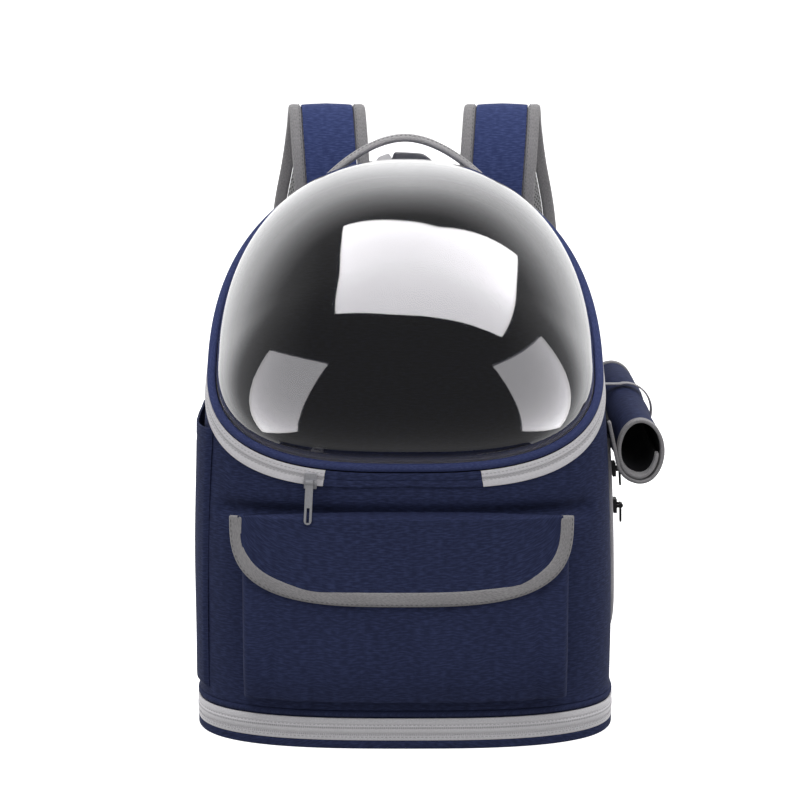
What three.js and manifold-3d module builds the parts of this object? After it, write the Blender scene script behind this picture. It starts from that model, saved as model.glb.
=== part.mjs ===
// Pet carrier backpack, in millimetres. The origin is the middle of the base on the floor, +Z is up,
// the domed front faces -Y, and +X is to the right of someone who looks at the dome.

import * as THREE from "three";
import { mergeVertices } from "three/addons/utils/BufferGeometryUtils.js";
import Module from "manifold-3d";

const wasm = await Module();
wasm.setup();

// Body: a cloth box with a bowed front, an arched top and a flat back
const bodyWidth = 322;
const bodyDepth = 265;
const bodyHeight = 426;
const archRise = 142;
const cornerDepth = 75;
const backCornerRadius = 28;
const topBackRadius = 20;
const sideBulge = 2.5;
const clothWall = 2.5;
const seamGap = 0.3;

// Base: padded floor, edge strip, zip band and piping
const floorThickness = 8;
const baseEdgeHeight = 6.5;
const baseZipWidth = 17;
const basePipingRadius = 2.7;
const baseFlare = 1.5;
const zipTapeThickness = 1.2;

// Dome door: it leans back over the front and carries the clear dome
const doorRise = 213;
const doorSlope = 1.25;
const doorPipingRadius = 3.2;
const doorBandThickness = 1.8;
const doorBandWidth = 16;
const domeFlangeInset = 7;
const domeFlangeWidth = 6;
const domeRise = 84;
const domeWall = 2;
const doorZipWidth = 10.5;
const hingeWidth = 119;
const hingeCentre = -2;

// Front pocket and its flap, hung below the door's sill
const pocketWidth = 241;
const pocketBottom = 41;
const pocketBelowFlap = 9;
const pocketDepth = 18;
const pocketCloth = 2;
const flapWidth = 249;
const flapCentre = -3;
const flapBelowSill = 27;
const flapDrop = 71;
const flapCloth = 1.8;
const flapBindingWidth = 11;
const flapBindingExtra = 0.8;
const flapRest = 0.6;

// Right side window, its zip and its rolled cover
const windowFront = -46;
const windowRear = 72;
const windowBottom = 74;
const windowBelowSpring = 60;
const windowCornerRadius = 26;
const meshThickness = 1.5;
const sideZipWidth = 12;
const sideZipThickness = 3;
const rollFrontOverhang = 26;
const rollRearOverhang = 20;
const rollRadius = 17.5;
const rollCloth = 2;
const rollLayerGap = 3.4;
const rollBindingWidth = 7;
const rollBindingCloth = 2.8;
const rollTieWidth = 8;
const rollTieThickness = 1.4;
const rollTiePlace = 12;
const rollTieSlack = 2.2;

// Left side pocket
const sidePocketBottom = 36;
const sidePocketRimAboveSill = 18;
const sidePocketRimRise = 14;
const sidePocketBulge = 8.4;
const sidePocketCloth = 1.8;

// Zip sliders and pulls
const doorSliderGap = 2.2;
const doorPullLength = 31;
const doorPullRest = 0.8;
const sidePullLength = 14;
const upperSliderDrop = 27;
const lowerSliderDrop = 56;
const sliderWidth = 9;
const sliderHeight = 11;
const sliderThickness = 2.6;
const sliderPost = 1.4;
const pullBarRadius = 0.8;
const pullThickness = 1.3;
const pullWidth = 5.6;
const pullEyeWall = 0.9;
const pullClearance = 1.5;
const sliderSeat = 0.8;

// Carry handle and hang loop on top
const handleSpan = 144;
const handleRise = 23;
const handleEndDrop = 41;
const handleThickness = 6.5;
const handleWidth = 25;
const handleFromBack = 60.5;
const hangLoopSpan = 50;
const hangLoopRise = 11;
const hangLoopWidth = 20;
const hangLoopCloth = 1.8;
const hangLoopFromBack = 30.5;

// Padded back and shoulder straps
const backPadWidth = 208;
const backPadBottom = 34;
const backPadBelowStraps = 4.3;
const backPadThickness = 9;
const backPadRadius = 40;
const strapWidth = 67;
const strapThickness = 8;
const strapFaceThickness = 2.5;
const strapEdgeWidth = 11;
const strapEdgeThickness = 8.8;
const strapEdgeRounding = 2;
const strapRise = 51;
const strapReach = 80;
const strapSplay = 40;
const strapRootLeft = 62;
const strapRootRight = 79.5;
const webbingWidth = 20;
const webbingThickness = 1.6;
const buckleWidth = 30;
const buckleLength = 25;
const buckleThickness = 3.6;
const buckleSlot = 4.6;
const buckleDrop = 16;
const webbingPlay = 0.4;
const anchorHeight = 50;
const anchorGap = 2.5;
const anchorWidth = 24;
const anchorLength = 28;
const anchorThickness = 3;

// Derived places
const front = -bodyDepth / 2;
const back = bodyDepth / 2;
const springHeight = bodyHeight - archRise;
const doorSill = bodyHeight - doorRise;
const flapTop = doorSill - flapBelowSill;
const pocketTop = flapTop - pocketBelowFlap;
const sidePocketRim = doorSill + sidePocketRimAboveSill;
const windowTop = springHeight - windowBelowSpring;
const rollFront = windowFront - rollFrontOverhang;
const rollRear = windowRear + rollRearOverhang;
const strapTop = bodyHeight + strapRise;
const anchorOut = backPadWidth / 2 + anchorGap + anchorWidth / 2;
const sliderBarOut = sliderThickness + pullBarRadius * 2 + pullClearance;
const baseZipBottom = baseEdgeHeight + seamGap;
const basePipingHeight = baseZipBottom + baseZipWidth + seamGap + basePipingRadius;
const bodyFoot = basePipingHeight + basePipingRadius + seamGap;
const doorLean = Math.atan(doorSlope);
const doorLength = doorRise / Math.sin(doorLean);
const doorBandTop = -doorPipingRadius - seamGap;
const doorBandBottom = doorBandTop - doorBandThickness;
const shellCut = doorBandBottom - seamGap;
const beyond = 400;

// Shares of the width, corner depth and side bulge at shares of the height from the foot to the spring line
const formRows = [
  { rise: 0, width: 1, corner: 1, bulge: 0.5 },
  { rise: 0.3, width: 0.994, corner: 1, bulge: 1 },
  { rise: 0.6, width: 0.98, corner: 0.97, bulge: 1 },
  { rise: 0.8, width: 0.957, corner: 0.94, bulge: 0.5 },
  { rise: 1, width: 0.922, corner: 0.91, bulge: 0 },
];

// Exponents of the rounded outlines: 2 is an ellipse, and more is squarer
const frontExponent = 2.85;
const archExponent = 2.25;
const flapExponent = 3.1;
const handleExponent = 1.85;
const domeExponent = 2.3;
const domeFullness = 0.53;

// Shares of the pocket's depth at shares of its height
const pocketRows = [
  { rise: 0, depth: 0.66 },
  { rise: 0.05, depth: 0.92 },
  { rise: 0.22, depth: 1 },
  { rise: 0.6, depth: 0.8 },
  { rise: 1, depth: 0.44 },
];

// The rolled window cover from rear to front, in shares of its radius: how far its middle lies off the wall
// and above the window, its half width and half height, and its seam's height above the window
const rollRows = [
  { along: 0, out: 1.4, rise: 1.08, wide: 0.9, tall: 0.92, root: 1.88 },
  { along: 0.3, out: 1.36, rise: 0.8, wide: 0.98, tall: 1, root: 1.71 },
  { along: 0.65, out: 1.36, rise: 0.12, wide: 1, tall: 1.1, root: 1.26 },
  { along: 1, out: 1.48, rise: -0.6, wide: 0.94, tall: 1.34, root: 0.72 },
];
const rollStartAngle = 215;
const rollTurn = 500;
const rollTuckFrom = 140;
const rollTuckOver = 220;
const rollTieTopAngle = 105;
const rollTieFootAngle = -125;

// The hang loop from end to end, in shares of its span and of its rise over the body's top
const hangLoopRows = [
  { across: -0.56, rise: -0.5 },
  { across: -0.5, rise: 0 },
  { across: -0.36, rise: 0.6 },
  { across: -0.2, rise: 1 },
  { across: 0.2, rise: 0.86 },
  { across: 0.38, rise: 0.5 },
  { across: 0.5, rise: 0 },
  { across: 0.56, rise: -0.5 },
];

// The side pocket lies between two places of the body's outline, and its slack grows towards the rim
const sidePocketFrontPlace = 0.72;
const sidePocketRearPlace = 1.92;
const sidePocketFootSlack = 0.1;
const sidePocketSlackExponent = 2.5;
const sidePocketStandExponent = 0.7;

// A shoulder strap's middle line from its upper seam over the peak to the end of the padding
const strapRows = [
  { reach: 0.06, height: 0.768, splay: 0 },
  { reach: 0.07, height: 0.83, splay: 0 },
  { reach: 0.12, height: 0.895, splay: 0.05 },
  { reach: 0.21, height: 0.948, splay: 0.1 },
  { reach: 0.345, height: 0.983, splay: 0.14 },
  { reach: 0.5, height: 0.9914, splay: 0.18 },
  { reach: 0.66, height: 0.981, splay: 0.22 },
  { reach: 0.8, height: 0.946, splay: 0.28 },
  { reach: 0.92, height: 0.88, splay: 0.42 },
  { reach: 0.98, height: 0.797, splay: 0.62 },
  { reach: 1, height: 0.692, splay: 0.76 },
  { reach: 0.95, height: 0.587, splay: 0.86 },
  { reach: 0.86, height: 0.493, splay: 0.94 },
  { reach: 0.74, height: 0.42, splay: 1 },
];

const navy = { color: 0x2a3157, roughness: 0.9, metalness: 0 };
const strapNavy = { color: 0x47517a, roughness: 0.9, metalness: 0 };
const greyBinding = { color: 0x969496, roughness: 0.85, metalness: 0 };
const paleZip = { color: 0xc4c2c6, roughness: 0.7, metalness: 0 };
const darkMesh = { color: 0x1c1c20, roughness: 0.9, metalness: 0 };
const paleMesh = { color: 0xa4a4a6, roughness: 0.9, metalness: 0 };
const blackPlastic = { color: 0x151517, roughness: 0.5, metalness: 0 };
const pullMetal = { color: 0xb0b0b4, roughness: 0.35, metalness: 0.9 };
const clearPlastic = { color: 0x8a8a90, roughness: 0.08, metalness: 0, transparent: true, opacity: 0.4 };

const bag = new THREE.Group();

function radians(degrees) {
  return (degrees * Math.PI) / 180;
}

function lerp(a, b, share) {
  return a + (b - a) * share;
}

// Values of a table's columns at a place between its rows
function between(rows, key, place) {
  const last = rows.length - 1;
  let i = 0;
  while (i < last - 1 && rows[i + 1][key] < place) i++;
  const low = rows[i];
  const high = rows[i + 1];
  const share = Math.min(1, Math.max(0, (place - low[key]) / (high[key] - low[key])));
  const values = {};
  for (const column of Object.keys(low)) values[column] = lerp(low[column], high[column], share);
  return values;
}

// A solid skinned over rings with equal counts of points. Its ends are closed from their middles, or across
// the two faces of a sheet, or the last ring joins the first. Twisted strips are split along their short diagonals.
function skin(rings, ends = "middle", twisted = false) {
  const count = rings[0].length;
  const points = rings.flat();
  const triangles = [];
  const spans = ends === "joined" ? rings.length : rings.length - 1;
  for (let i = 0; i < spans; i++) {
    const here = i * count;
    const next = ((i + 1) % rings.length) * count;
    for (let k = 0; k < count; k++) {
      const m = (k + 1) % count;
      const [a, b, c, d] = [here + k, here + m, next + m, next + k];
      const other = twisted && points[b].distanceTo(points[d]) < points[a].distanceTo(points[c]);
      if (other) triangles.push([a, b, d], [b, c, d]);
      else triangles.push([a, b, c], [a, c, d]);
    }
  }
  const closeEnd = (ring, start) => {
    if (ends === "middle") {
      const middle = ring.reduce((sum, p) => sum.add(p), new THREE.Vector3()).divideScalar(count);
      points.push(middle);
      return ring.map((_, k) => [start + k, start + ((k + 1) % count), points.length - 1]);
    }
    const pairs = [];
    for (let k = 0; k < count / 2 - 1; k++) {
      const [a, b, c, d] = [k, k + 1, count - 2 - k, count - 1 - k].map((corner) => start + corner);
      pairs.push([a, b, c], [a, c, d]);
    }
    return pairs;
  };
  if (ends !== "joined") {
    closeEnd(rings[0], 0).forEach(([a, b, c]) => triangles.push([a, c, b]));
    triangles.push(...closeEnd(rings.at(-1), (rings.length - 1) * count));
  }
  const positions = points.flatMap((p) => [p.x, p.y, p.z]);
  const made = solidFrom(positions, triangles);
  if (made.volume() > 0) return made;
  return solidFrom(positions, triangles.map(([a, b, c]) => [a, c, b]));
}

function solidFrom(positions, triangles) {
  const geometry = new THREE.BufferGeometry();
  geometry.setAttribute("position", new THREE.Float32BufferAttribute(positions, 3));
  geometry.setIndex(triangles.flat());
  return solidOf(geometry);
}

function solidOf(geometry) {
  geometry.deleteAttribute("normal");
  geometry.deleteAttribute("uv");
  const merged = mergeVertices(geometry, 1e-4);
  return new wasm.Manifold(
    new wasm.Mesh({
      numProp: 3,
      vertProperties: merged.attributes.position.array,
      triVerts: new Uint32Array(merged.index.array),
    }),
  );
}

// A box from its size and the place of its middle
function block(size, middle) {
  const geometry = new THREE.BoxGeometry(...size);
  return solidOf(geometry.translate(...middle));
}

function addMesh(name, solid, finish, parent = bag) {
  const { vertProperties, triVerts } = solid.getMesh();
  const geometry = new THREE.BufferGeometry();
  geometry.setAttribute("position", new THREE.BufferAttribute(new Float32Array(vertProperties), 3));
  geometry.setIndex(new THREE.BufferAttribute(new Uint32Array(triVerts), 1));
  geometry.computeVertexNormals();
  const mesh = new THREE.Mesh(geometry, new THREE.MeshStandardMaterial(finish));
  mesh.name = name;
  parent.add(mesh);
  return mesh;
}

// Body form: half its width at a height, the arch included
function halfWidthAt(z, outset) {
  const arch = (bodyWidth / 2) * formRows.at(-1).width + outset;
  if (z > springHeight) {
    const share = Math.min(1, (z - springHeight) / (archRise + outset));
    return arch * (1 - share ** archExponent) ** (1 / archExponent);
  }
  const row = between(formRows, "rise", (z - bodyFoot) / (springHeight - bodyFoot));
  return (bodyWidth / 2) * row.width + outset;
}

// A point of the right half of the outline at a height: 0 to 1 is the front, to 2 the side, to 3 the back corner
function outlinePoint(place, z, outset) {
  const row = between(formRows, "rise", (z - bodyFoot) / (springHeight - bodyFoot));
  const half = halfWidthAt(z, outset);
  const shoulder = front + cornerDepth * row.corner;
  const depth = cornerDepth * row.corner + outset;
  const roundFrom = bodyHeight + outset - topBackRadius;
  const roundShare = Math.min(1, Math.max(0, (z - roundFrom) / topBackRadius));
  const rear = back + outset - topBackRadius * (1 - Math.sqrt(1 - roundShare ** 2));
  const radius = Math.min(backCornerRadius + outset, half * 0.9);
  if (place <= 1) {
    const angle = (place * Math.PI) / 2;
    const x = half * Math.sin(angle) ** (2 / frontExponent);
    const y = shoulder - depth * Math.cos(angle) ** (2 / frontExponent);
    return new THREE.Vector3(x, y, z);
  }
  if (place <= 2) {
    const share = place - 1;
    const bulge = sideBulge * row.bulge * Math.sin(Math.PI * share) ** 2;
    return new THREE.Vector3(half + bulge, lerp(shoulder, rear - radius, share), z);
  }
  const turn = ((place - 2) * Math.PI) / 2;
  const x = half - radius + radius * Math.cos(turn);
  return new THREE.Vector3(x, rear - radius + radius * Math.sin(turn), z);
}

const frontSteps = 8;
const sideSteps = 4;
const cornerSteps = 3;

function outlineRing(z, outset) {
  const places = [];
  for (let i = 0; i < frontSteps; i++) places.push(i / frontSteps);
  for (let i = 0; i < sideSteps; i++) places.push(1 + i / sideSteps);
  for (let i = 0; i <= cornerSteps; i++) places.push(2 + i / cornerSteps);
  const right = places.map((place) => outlinePoint(place, z, outset));
  const left = right.slice(1).reverse().map((p) => new THREE.Vector3(-p.x, p.y, p.z));
  return [...right, ...left];
}

// Sorted places without the ones that nearly repeat the one before
function spaced(places, least = 0.01) {
  const sorted = [...places].sort((a, b) => a - b);
  return sorted.filter((place, i) => i === 0 || place - sorted[i - 1] > least);
}

const archSteps = 8;
const archEndShare = 0.975;

// The whole body form from a height upwards, grown or shrunk by an outset that may change with height
function bodyForm(outsetAt, bottom, extraHeights = []) {
  const outset = typeof outsetAt === "number" ? () => outsetAt : outsetAt;
  const heights = [bottom, ...extraHeights];
  for (const row of formRows) heights.push(lerp(bodyFoot, springHeight, row.rise));
  for (let i = 1; i <= archSteps; i++) {
    const angle = (i / archSteps) * archEndShare * (Math.PI / 2);
    const top = archRise + outset(bodyHeight);
    heights.push(springHeight + top * Math.sin(angle) ** (2 / archExponent));
  }
  const sorted = spaced(heights.filter((z) => z >= bottom));
  return skin(sorted.map((z) => outlineRing(z, outset(z))));
}

// Half width of the body at a depth y and height z, on the side wall or the front corner
function sideReach(y, z, outset) {
  let low = 0;
  let high = 2;
  for (let i = 0; i < 30; i++) {
    const middle = (low + high) / 2;
    if (outlinePoint(middle, z, outset).y < y) low = middle;
    else high = middle;
  }
  return outlinePoint(low, z, outset).x;
}

// Prisms along X and along Y through an outline
function prismAlongX(outline, from, to) {
  return skin([from, to].map((x) => outline.map(([y, z]) => new THREE.Vector3(x, y, z))));
}

function prismAlongY(outline, from, to) {
  return skin([from, to].map((y) => outline.map(([x, z]) => new THREE.Vector3(x, y, z))));
}

// Door plane: u is across, t runs up the slope from the sill and w stands off the plane
function doorPoint(u, t, w) {
  const y = front + t * Math.cos(doorLean) - w * Math.sin(doorLean);
  const z = doorSill + t * Math.sin(doorLean) + w * Math.cos(doorLean);
  return new THREE.Vector3(u, y, z);
}

const doorLowSteps = 8;
const doorHighSteps = 9;

// Where the door plane meets the body form, with the outward direction at each point
function doorOutline() {
  const half = [];
  let shoulderHeight = doorSill;
  for (let i = 0; i <= doorLowSteps; i++) {
    let z = doorSill;
    let point = outlinePoint(i / doorLowSteps, z, 0);
    for (let pass = 0; pass < 12; pass++) {
      z = doorSill + doorSlope * (point.y - front);
      point = outlinePoint(i / doorLowSteps, z, 0);
    }
    half.push({ u: point.x, t: (z - doorSill) / Math.sin(doorLean) });
    shoulderHeight = z;
  }
  const above = Math.max(0, (shoulderHeight - springHeight) / archRise);
  const start = Math.asin(above ** (archExponent / 2));
  for (let i = above > 0 ? 1 : 0; i <= doorHighSteps; i++) {
    const angle = lerp(start, Math.PI / 2, i / doorHighSteps);
    const z = springHeight + archRise * Math.sin(angle) ** (2 / archExponent);
    const u = i === doorHighSteps ? 0 : halfWidthAt(z, 0);
    half.push({ u, t: (z - doorSill) / Math.sin(doorLean) });
  }
  const mirrored = half.slice(1, -1).reverse().map(({ u, t }) => ({ u: -u, t }));
  const points = [...half, ...mirrored];
  return points.map(({ u, t }, i) => {
    const ahead = points[(i + 1) % points.length];
    const behind = points.at(i - 1);
    const along = new THREE.Vector2(ahead.u - behind.u, ahead.t - behind.t).normalize();
    return { u, t, outU: along.y, outT: -along.x };
  });
}

const doorEdge = doorOutline();

// A point of the door's outline moved inwards, then drawn towards the door's middle by a share
function doorEdgePoint(edge, inset, share, w) {
  const u = (edge.u - edge.outU * inset) * share;
  const t = lerp(doorLength / 2, edge.t - edge.outT * inset, share);
  return doorPoint(u, t, w);
}

// A ring round the door with a closed section of insets and heights
function doorRing(section) {
  return skin(
    doorEdge.map((edge) => section.map(([inset, w]) => doorEdgePoint(edge, inset, 1, w))),
    "joined",
  );
}

// All that stands above a height w over the door plane
function aboveDoor(w) {
  const corners = [
    [-beyond, w],
    [beyond * 2, w],
    [beyond * 2, beyond],
    [-beyond, beyond],
  ];
  const outline = corners.map(([t, height]) => {
    const p = doorPoint(0, t, height);
    return [p.y, p.z];
  });
  return prismAlongX(outline, -beyond, beyond);
}

const bandSteps = 8;

// The layer under the door's edge where its zip is sewn, as wide on the sides as at the sill and the top
function zipLayer() {
  const outline = [];
  const past = 0.15;
  for (let i = 0; i <= bandSteps; i++) {
    const share = lerp(-past, 1 + past, i / bandSteps);
    const middle = Math.max(0, 4 * share * (1 - share));
    const ends = lerp(Math.cos(doorLean), Math.sin(doorLean), share);
    const drop = doorZipWidth * lerp(ends, 1, middle);
    const p = doorPoint(0, share * doorLength, doorBandTop - drop);
    outline.push([p.y, p.z]);
  }
  for (const share of [1 + past, -past]) {
    const p = doorPoint(0, share * doorLength, doorBandTop);
    outline.push([p.y, p.z]);
  }
  return prismAlongX(outline, -beyond, beyond);
}

// Base
function addBase() {
  const flare = baseFlare;
  const recess = seamGap + zipTapeThickness;
  const level = (z, outset) => outlineRing(bodyFoot, outset).map((p) => p.setZ(z));
  const slab = (from, to, outset) => skin([level(from, outset), level(to, outset)]);
  const edge = slab(0, baseEdgeHeight, flare);
  const wallTop = basePipingHeight + basePipingRadius;
  const wallOutset = flare - recess - basePipingRadius;
  const zipBacking = slab(0, baseZipBottom + baseZipWidth, flare - recess);
  const wall = slab(0, wallTop, wallOutset);
  const inside = slab(floorThickness, wallTop + 1, wallOutset - clothWall);
  addMesh("base_tray", edge.add(zipBacking).add(wall).subtract(inside), navy);

  const zipTop = baseZipBottom + baseZipWidth;
  const band = slab(baseZipBottom, zipTop, flare).subtract(slab(0, bodyFoot, flare - zipTapeThickness));
  addMesh("base_zip", band, paleZip);

  const sides = 8;
  const pipe = outlineRing(bodyFoot, flare - basePipingRadius);
  const pipeRings = pipe.map((p, i) => {
    const ahead = pipe[(i + 1) % pipe.length];
    const behind = pipe.at(i - 1);
    const along = new THREE.Vector3().subVectors(ahead, behind).normalize();
    const out = new THREE.Vector3(along.y, -along.x, 0);
    return Array.from({ length: sides }, (_, k) => {
      const angle = (2 * Math.PI * k) / sides;
      const ring = out.clone().multiplyScalar(basePipingRadius * Math.cos(angle)).add(p);
      return ring.setZ(basePipingHeight + basePipingRadius * Math.sin(angle));
    });
  });
  const clear = slab(0, bodyFoot, wallOutset + seamGap);
  addMesh("base_piping", skin(pipeRings, "joined").subtract(clear), navy);
}

// The window's outline on the side wall, grown by an amount
function windowOutline(grow) {
  const radius = windowCornerRadius + grow;
  const low = windowBottom - grow + radius;
  const points = [
    [windowRear + grow, windowTop],
    [windowFront - grow, windowTop],
  ];
  const steps = 5;
  for (const [middle, from] of [
    [windowFront - grow + radius, Math.PI],
    [windowRear + grow - radius, Math.PI * 1.5],
  ]) {
    for (let i = 0; i <= steps; i++) {
      const angle = from + ((Math.PI / 2) * i) / steps;
      points.push([middle + radius * Math.cos(angle), low + radius * Math.sin(angle)]);
    }
  }
  return points;
}

function addBodyShell() {
  const outside = bodyForm(0, bodyFoot);
  const inside = bodyForm(-clothWall, bodyFoot - 1);
  const hole = prismAlongX(windowOutline(0), 0, beyond);
  addMesh("body_shell", outside.subtract(inside).subtract(hole).subtract(aboveDoor(shellCut)), navy);

  const panel = bodyForm(-seamGap, bodyFoot).subtract(bodyForm(-seamGap - meshThickness, bodyFoot - 1));
  const cut = prismAlongX(windowOutline(-seamGap), 0, beyond);
  const top = windowTop - seamGap;
  const belowTop = block([beyond, beyond, top], [beyond / 2, 0, top / 2]);
  addMesh("side_mesh", panel.intersect(cut).intersect(belowTop), darkMesh);

  const tape = bodyForm(seamGap + sideZipThickness, bodyFoot).subtract(bodyForm(seamGap, bodyFoot - 1));
  const loop = prismAlongX(windowOutline(sideZipWidth), 0, beyond).subtract(hole);
  addMesh("side_zip", tape.intersect(loop), paleZip);
}

function addDoor() {
  const corners = [
    [seamGap, doorBandBottom],
    [doorBandWidth, doorBandBottom],
    [doorBandWidth, doorBandTop],
    [seamGap, doorBandTop],
  ];
  addMesh("dome_frame", doorRing(corners), darkMesh);

  const sides = 8;
  const cord = Array.from({ length: sides }, (_, k) => {
    const angle = (2 * Math.PI * (k + 0.5)) / sides;
    return [doorPipingRadius * (1 - Math.cos(angle)), doorPipingRadius * Math.sin(angle)];
  });
  addMesh("door_piping", doorRing(cord), navy);

  const flangeBottom = doorBandTop + seamGap;
  const flangeTop = flangeBottom + domeWall;
  const rim = domeFlangeInset + domeFlangeWidth;
  const shares = [0.12, 0.44, 0.7, 0.87, 0.965, 1];
  const swell = (share) => (1 - share ** domeExponent) ** domeFullness;
  const ring = (inset, share, w) => doorEdge.map((edge) => doorEdgePoint(edge, inset, share, w));
  const outer = shares.map((share) => ring(rim, share, lerp(flangeTop, domeRise, swell(share))));
  const inner = shares.map((share) =>
    ring(rim + domeWall, share, lerp(flangeBottom, domeRise - domeWall, swell(share))),
  );
  const flange = [
    ring(domeFlangeInset, 1, flangeTop),
    ring(domeFlangeInset, 1, flangeBottom),
  ];
  addMesh("dome", skin([...outer, ...flange, ...inner.reverse()]), clearPlastic);

  const tape = bodyForm(seamGap + zipTapeThickness, bodyFoot)
    .subtract(bodyForm(seamGap, bodyFoot - 1))
    .intersect(zipLayer());
  const hingeBlock = (width) => block([width, bodyDepth, doorRise], [hingeCentre, front, doorSill]);
  addMesh("door_zip", tape.subtract(hingeBlock(hingeWidth)), paleZip);
  addMesh("door_hinge", tape.intersect(hingeBlock(hingeWidth - 2 * seamGap)), navy);
}

// How far the front pocket stands off the body at a height
function pocketReach(z) {
  return pocketDepth * between(pocketRows, "rise", (z - pocketBottom) / (pocketTop - pocketBottom)).depth;
}

const pocketHeights = pocketRows.map((row) => lerp(pocketBottom, pocketTop, row.rise));

function addFrontPocket() {
  const height = pocketTop - pocketBottom;
  const middle = (pocketTop + pocketBottom) / 2;
  const column = (width, from, to) => block([width, beyond, to - from], [0, front, (from + to) / 2]);
  const outside = bodyForm(pocketReach, bodyFoot, pocketHeights).intersect(
    block([pocketWidth, cornerDepth * 2, height], [0, front - cornerDepth / 2, middle]),
  );
  const inside = bodyForm((z) => pocketReach(z) - pocketCloth, bodyFoot, pocketHeights).intersect(
    column(pocketWidth - 2 * pocketCloth, pocketBottom + pocketCloth, pocketTop + 1),
  );
  addMesh("front_pocket", outside.subtract(inside).subtract(bodyForm(seamGap, bodyFoot)), navy);
}

// The flap's outline from the front, drawn in by an inset
function flapOutline(inset) {
  const steps = 20;
  const points = [[flapCentre + flapWidth / 2 - inset, flapTop + 20]];
  for (let i = 0; i <= steps; i++) {
    const angle = (i / steps) * Math.PI;
    const across = Math.sign(Math.cos(angle)) * Math.abs(Math.cos(angle)) ** (2 / flapExponent);
    const down = Math.sin(angle) ** (2 / flapExponent);
    points.push([flapCentre + (flapWidth / 2 - inset) * across, flapTop - (flapDrop - inset) * down]);
  }
  points.push([flapCentre - flapWidth / 2 + inset, flapTop + 20]);
  return points;
}

// The flap lies on the pocket and turns in to the body at its top seam
const flapTurnFrom = pocketTop + 1;

function flapReach(z, thickness) {
  const lying = pocketReach(Math.min(z, pocketTop)) + flapRest;
  if (z <= flapTurnFrom) return lying + thickness;
  const share = Math.min(1, (z - flapTurnFrom) / (flapTop - flapTurnFrom));
  const turned = lerp(seamGap, lying + thickness, Math.sqrt(1 - share ** 2));
  return thickness > 0 ? turned : seamGap;
}

function addFlap() {
  const turnShares = [0, 0.01, 0.3, 0.6, 0.8, 0.92, 1];
  const turnHeights = turnShares.map((share) => lerp(flapTurnFrom, flapTop, share));
  const heights = [...pocketHeights, ...turnHeights];
  const layer = (thickness) => {
    const outside = bodyForm((z) => flapReach(z, thickness), bodyFoot, heights);
    const inside = bodyForm((z) => flapReach(z, 0), bodyFoot - 1, heights);
    return outside.subtract(inside).subtract(bodyForm(seamGap, bodyFoot - 2));
  };
  const cut = (inset) => prismAlongY(flapOutline(inset), -beyond, 0);
  const rim = cut(0).subtract(cut(flapBindingWidth));
  const top = block([beyond, beyond, beyond], [0, front, flapTop - beyond / 2]);
  const field = layer(flapCloth).intersect(cut(flapBindingWidth + seamGap));
  addMesh("pocket_flap", field.intersect(top), navy);
  const binding = layer(flapCloth + flapBindingExtra).intersect(rim);
  addMesh("flap_binding", binding.intersect(top), greyBinding);
}

// A flat strip along a path: its section is given across the path and off its face
function strip(path, section, acrossHint) {
  return skin(
    path.map((p, i) => {
      const ahead = path[Math.min(i + 1, path.length - 1)];
      const behind = path[Math.max(i - 1, 0)];
      const along = new THREE.Vector3().subVectors(ahead, behind).normalize();
      const across = acrossHint.clone().addScaledVector(along, -acrossHint.dot(along)).normalize();
      const off = new THREE.Vector3().crossVectors(across, along);
      return section.map(([a, b]) => p.clone().addScaledVector(across, a).addScaledVector(off, b));
    }),
    "middle",
    true,
  );
}

// A rectangular section with its corners cut
function stripSection(left, right, bottom, top, chamfer) {
  return [
    [left + chamfer, bottom],
    [right - chamfer, bottom],
    [right, bottom + chamfer],
    [right, top - chamfer],
    [right - chamfer, top],
    [left + chamfer, top],
    [left, top - chamfer],
    [left, bottom + chamfer],
  ];
}

const acrossX = new THREE.Vector3(1, 0, 0);
const acrossY = new THREE.Vector3(0, 1, 0);
const leftwards = new THREE.Vector3(-1, 1, 1);

function addTopLoops() {
  const body = bodyForm(seamGap, bodyFoot);
  const steps = 14;
  const handlePath = Array.from({ length: steps + 1 }, (_, i) => {
    const share = lerp(-1, 1, i / steps);
    const z = bodyHeight + handleRise - handleEndDrop * Math.abs(share) ** handleExponent;
    return new THREE.Vector3((share * handleSpan) / 2, back - handleFromBack, z);
  });
  const half = handleThickness / 2;
  const grip = stripSection(-handleWidth / 2, handleWidth / 2, -half, half, half * 0.6);
  addMesh("carry_handle", strip(handlePath, grip, acrossY).subtract(body), greyBinding);

  const loopPath = hangLoopRows.map(({ across, rise }) => {
    const z = bodyHeight + rise * hangLoopRise;
    return new THREE.Vector3(across * hangLoopSpan, back - hangLoopFromBack, z);
  });
  const tape = hangLoopCloth / 2;
  const loopSection = stripSection(-hangLoopWidth / 2, hangLoopWidth / 2, -tape, tape, tape / 2);
  addMesh("hang_loop", strip(loopPath, loopSection, acrossY).subtract(body), greyBinding);
}

// Points of the rolled cover's section from its seam on the wall round to its inner end
function rollSpiral(row, wallX, offset) {
  const wide = rollRadius * row.wide;
  const tall = rollRadius * row.tall;
  const middleX = wallX + rollRadius * row.out;
  const middleZ = windowTop + rollRadius * row.rise;
  const points = [[wallX + rollCloth + seamGap, rollRootHeight(row)]];
  const steps = 20;
  for (let i = 0; i <= steps; i++) {
    const turned = (rollTurn * i) / steps;
    const angle = radians(rollStartAngle + turned);
    const share = Math.min(1, Math.max(0, (turned - rollTuckFrom) / rollTuckOver));
    const inwards = rollLayerGap * share;
    points.push([
      middleX + (wide - inwards + offset) * Math.cos(angle),
      middleZ + (tall - inwards + offset) * Math.sin(angle),
    ]);
  }
  return points;
}

function rollRootHeight(row) {
  return windowTop + rollRadius * row.root;
}

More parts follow.
